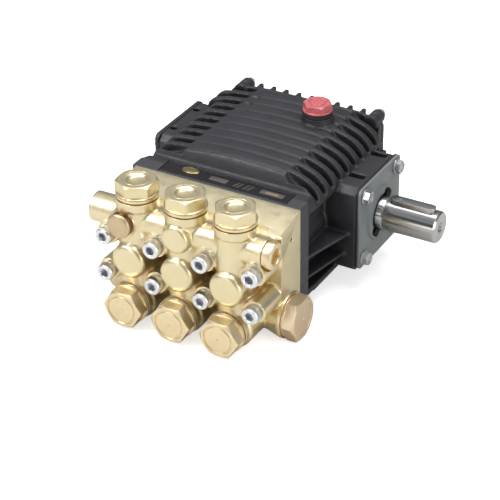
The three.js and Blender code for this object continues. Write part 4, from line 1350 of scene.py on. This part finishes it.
def spring_mesh(name, kind, valve):
    curve = bpy.data.curves.new(name, "CURVE")
    curve.dimensions, curve.bevel_depth = "3D", WIRE_RADIUS_M
    curve.bevel_resolution, curve.use_fill_caps = 3, True
    spline = curve.splines.new("POLY")
    count = int(SPRING_TURNS * STEPS_PER_TURN)
    spline.points.add(count)
    x = (valve.x0 + valve.x1) / 2
    for k in range(count + 1):
        angle = 2 * math.pi * k / STEPS_PER_TURN
        u, v = SPRING_RADIUS * math.cos(angle), SPRING_RADIUS * math.sin(angle)
        rise = k / count * SPRING_LENGTH
        if kind == "delivery":
            point = (x + u, (valve.y0 + valve.y1) / 2 + v, valve.z0 + SPRING_START + rise)
        else:
            point = (x + u, valve.y1 - SPRING_START - rise, (valve.z0 + valve.z1) / 2 + v)
        spline.points[k].co = (*((Vector(point) + CRANK) * 0.001), 1)
    coil = add_object("tmp", curve)
    depsgraph = bpy.context.evaluated_depsgraph_get()
    mesh = bpy.data.meshes.new_from_object(coil.evaluated_get(depsgraph))
    bpy.data.objects.remove(coil)
    with editing(mesh) as bm:
        bmesh.ops.remove_doubles(bm, verts=bm.verts, dist=1e-7)
        bmesh.ops.recalc_face_normals(bm, faces=bm.faces)
    return mesh


for kind in ("delivery", "suction"):
    for n in (1, 2, 3):
        name = f"{kind}_spring_{n}"
        mesh = spring_mesh(name, kind, extent(f"{kind}_valve_{n}"))
        ob = add_object(name, mesh)
        mesh.materials.clear()
        mesh.materials.append(MATERIALS["zinc_steel"])
        mesh.shade_smooth()
        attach(ob, f"{kind}_poppet_{n}")

# ---- floor, in metres ---------------------------------------------------------------------------
low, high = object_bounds()
centre = (low + high) / 2
FLOOR_Z = low.z - 0.0006
FLOOR_HALF, FLOOR_STEPS = 2.6, 24


def floor_material():
    """Pale floor: glows a little to the camera, and is a duller warm tone to other rays."""
    t = Look("floor_pale")
    pale = t.ramp(t.noise(scale=3.0, detail=3), (0.9, 0.9, 0.9, 1), (0.93, 0.93, 0.93, 1))
    t.feed(t.bsdf, {"Roughness": 0.9, "Specular IOR Level": 0.1, "Emission Color": WHITE})
    seen = t.node("LightPath").outputs["Is Camera Ray"]
    t.feed(t.bsdf, {"Emission Strength": t.calc("MULTIPLY", seen, 0.62)})
    return t.finish(t.mix(seen, (0.66, 0.64, 0.6, 1), pale))


mesh = bpy.data.meshes.new("floor")
with editing(mesh) as bm:
    stations = [-FLOOR_HALF + 2 * FLOOR_HALF * i / FLOOR_STEPS for i in range(FLOOR_STEPS + 1)]
    verts = [bm.verts.new((x, y, FLOOR_Z)) for x in stations for y in stations]
    row = FLOOR_STEPS + 1
    for i in range(FLOOR_STEPS):
        for j in range(FLOOR_STEPS):
            a = i * row + j
            bm.faces.new([verts[a], verts[a + row], verts[a + row + 1], verts[a + 1]])
floor = add_object("floor", mesh)
mesh.materials.append(floor_material())

# ---- light --------------------------------------------------------------------------------------
world = bpy.data.worlds.new("studio")
SCENE.world = world
sky = Nodes(world)
split = sky.node("SeparateXYZ", {0: sky.node("TexCoord").outputs["Generated"]})
ramp = sky.node("ValToRGB", {0: split.outputs["Z"]})
stops = ramp.color_ramp.elements
stops[0].position, stops[0].color = 0.0, (0.62, 0.62, 0.63, 1)
stops[1].position, stops[1].color = 1.0, WHITE
for height, grey in ((0.12, 0.5), (0.3, 0.42), (0.5, 0.72), (0.72, 0.95)):
    stops.new(height).color = (grey, grey, grey * 1.01, 1)
background = sky.node("Background", {"Color": ramp.outputs["Color"], "Strength": 0.52})
sky.node("OutputWorld", {"Surface": background.outputs[0]})


def aim(ob, location, target):
    ob.location = location
    ob.rotation_mode = "QUATERNION"
    ob.rotation_quaternion = (Vector(target) - Vector(location)).to_track_quat("-Z", "Y")


def area(name, offset, size, watts):
    """Rectangular light at an offset from the pump's centre, aimed at it."""
    light = bpy.data.lights.new(name, "AREA")
    light.shape, light.energy, light.spread = "RECTANGLE", watts, math.pi
    light.size, light.size_y = size
    ob = add_object(name, light)
    aim(ob, centre + Vector(offset), centre)
    return ob


key_light = area("key", offset=(-0.55, -0.75, 1.0), size=(0.55, 0.55), watts=13.6)
area("top", offset=(0.1, 0.15, 1.2), size=(1.1, 0.7), watts=9.5)
area("front", offset=(-0.25, -1.3, 0.28), size=(0.7, 0.5), watts=2.6)
area("right", offset=(1.2, -0.35, 0.35), size=(0.5, 0.8), watts=5.6)

# the key light leaves out the ground shaft, which keeps its middle streak dark
aside = bpy.data.collections.new("shaft_pieces")
for name in ("crankshaft_ground", "parallel_key"):
    aside.objects.link(bpy.data.objects[name])
key_light.light_linking.receiver_collection = aside
for member in aside.collection_objects:
    member.light_linking.link_state = "EXCLUDE"


def card(name, location, size, grey, target=centre, tone=(1, 1, 1)):
    """A card beside the set, kept from camera, shadow and diffuse rays."""
    mesh = bpy.data.meshes.new(name)
    x, y = size[0] / 2, size[1] / 2
    mesh.from_pydata([(-x, -y, 0), (x, -y, 0), (x, y, 0), (-x, y, 0)], [], [(0, 1, 2, 3)])
    ob = add_object(name, mesh)
    aim(ob, location, target)
    t = Look(name)
    dark, light = (tuple(level * k for k in tone) + (1,) for level in (grey, grey * 1.1))
    colour = t.ramp(t.noise(scale=2.0, detail=2), dark, light)
    t.feed(t.bsdf, {"Roughness": 1.0, "Specular IOR Level": 0.0})
    mesh.materials.append(t.finish(colour))
    ob.visible_camera = False
    ob.visible_shadow = False
    ob.visible_diffuse = False


card("card_high", centre + Vector((0.15, -0.62, 1.25)), size=(1.6, 0.07), grey=0.01)
card(
    "card_mid", Vector((-0.012, -0.3, 0.18)), size=(0.17, 0.13), grey=0.02,
    target=Vector((0.11, 0.0, 0.037)),
)
card(
    "card_low", centre + Vector((0.0, -1.35, 0.13)), size=(3.4, 0.3), grey=0.2,
    tone=(1, 0.86, 0.68),
)

# ---- camera -------------------------------------------------------------------------------------
lens_data = bpy.data.cameras.new("camera")
camera = add_object("camera", lens_data)
lens_data.sensor_fit = "HORIZONTAL"
lens_data.sensor_width = 36.0
lens_data.lens = 133.489
lens_data.clip_start, lens_data.clip_end = 0.05, 20.0
camera.location = Vector((577.713, -1054.065, 725.986)) * 0.001
camera.rotation_mode = "QUATERNION"
camera.rotation_quaternion = (0.8461288186, 0.4688891433, 0.1272291584, 0.2191386200)
SCENE.camera = camera
SCENE.view_settings.view_transform = "Standard"
SCENE.view_settings.look = "None"
SCENE.view_settings.exposure = 0.0

bpy.context.view_layer.update()
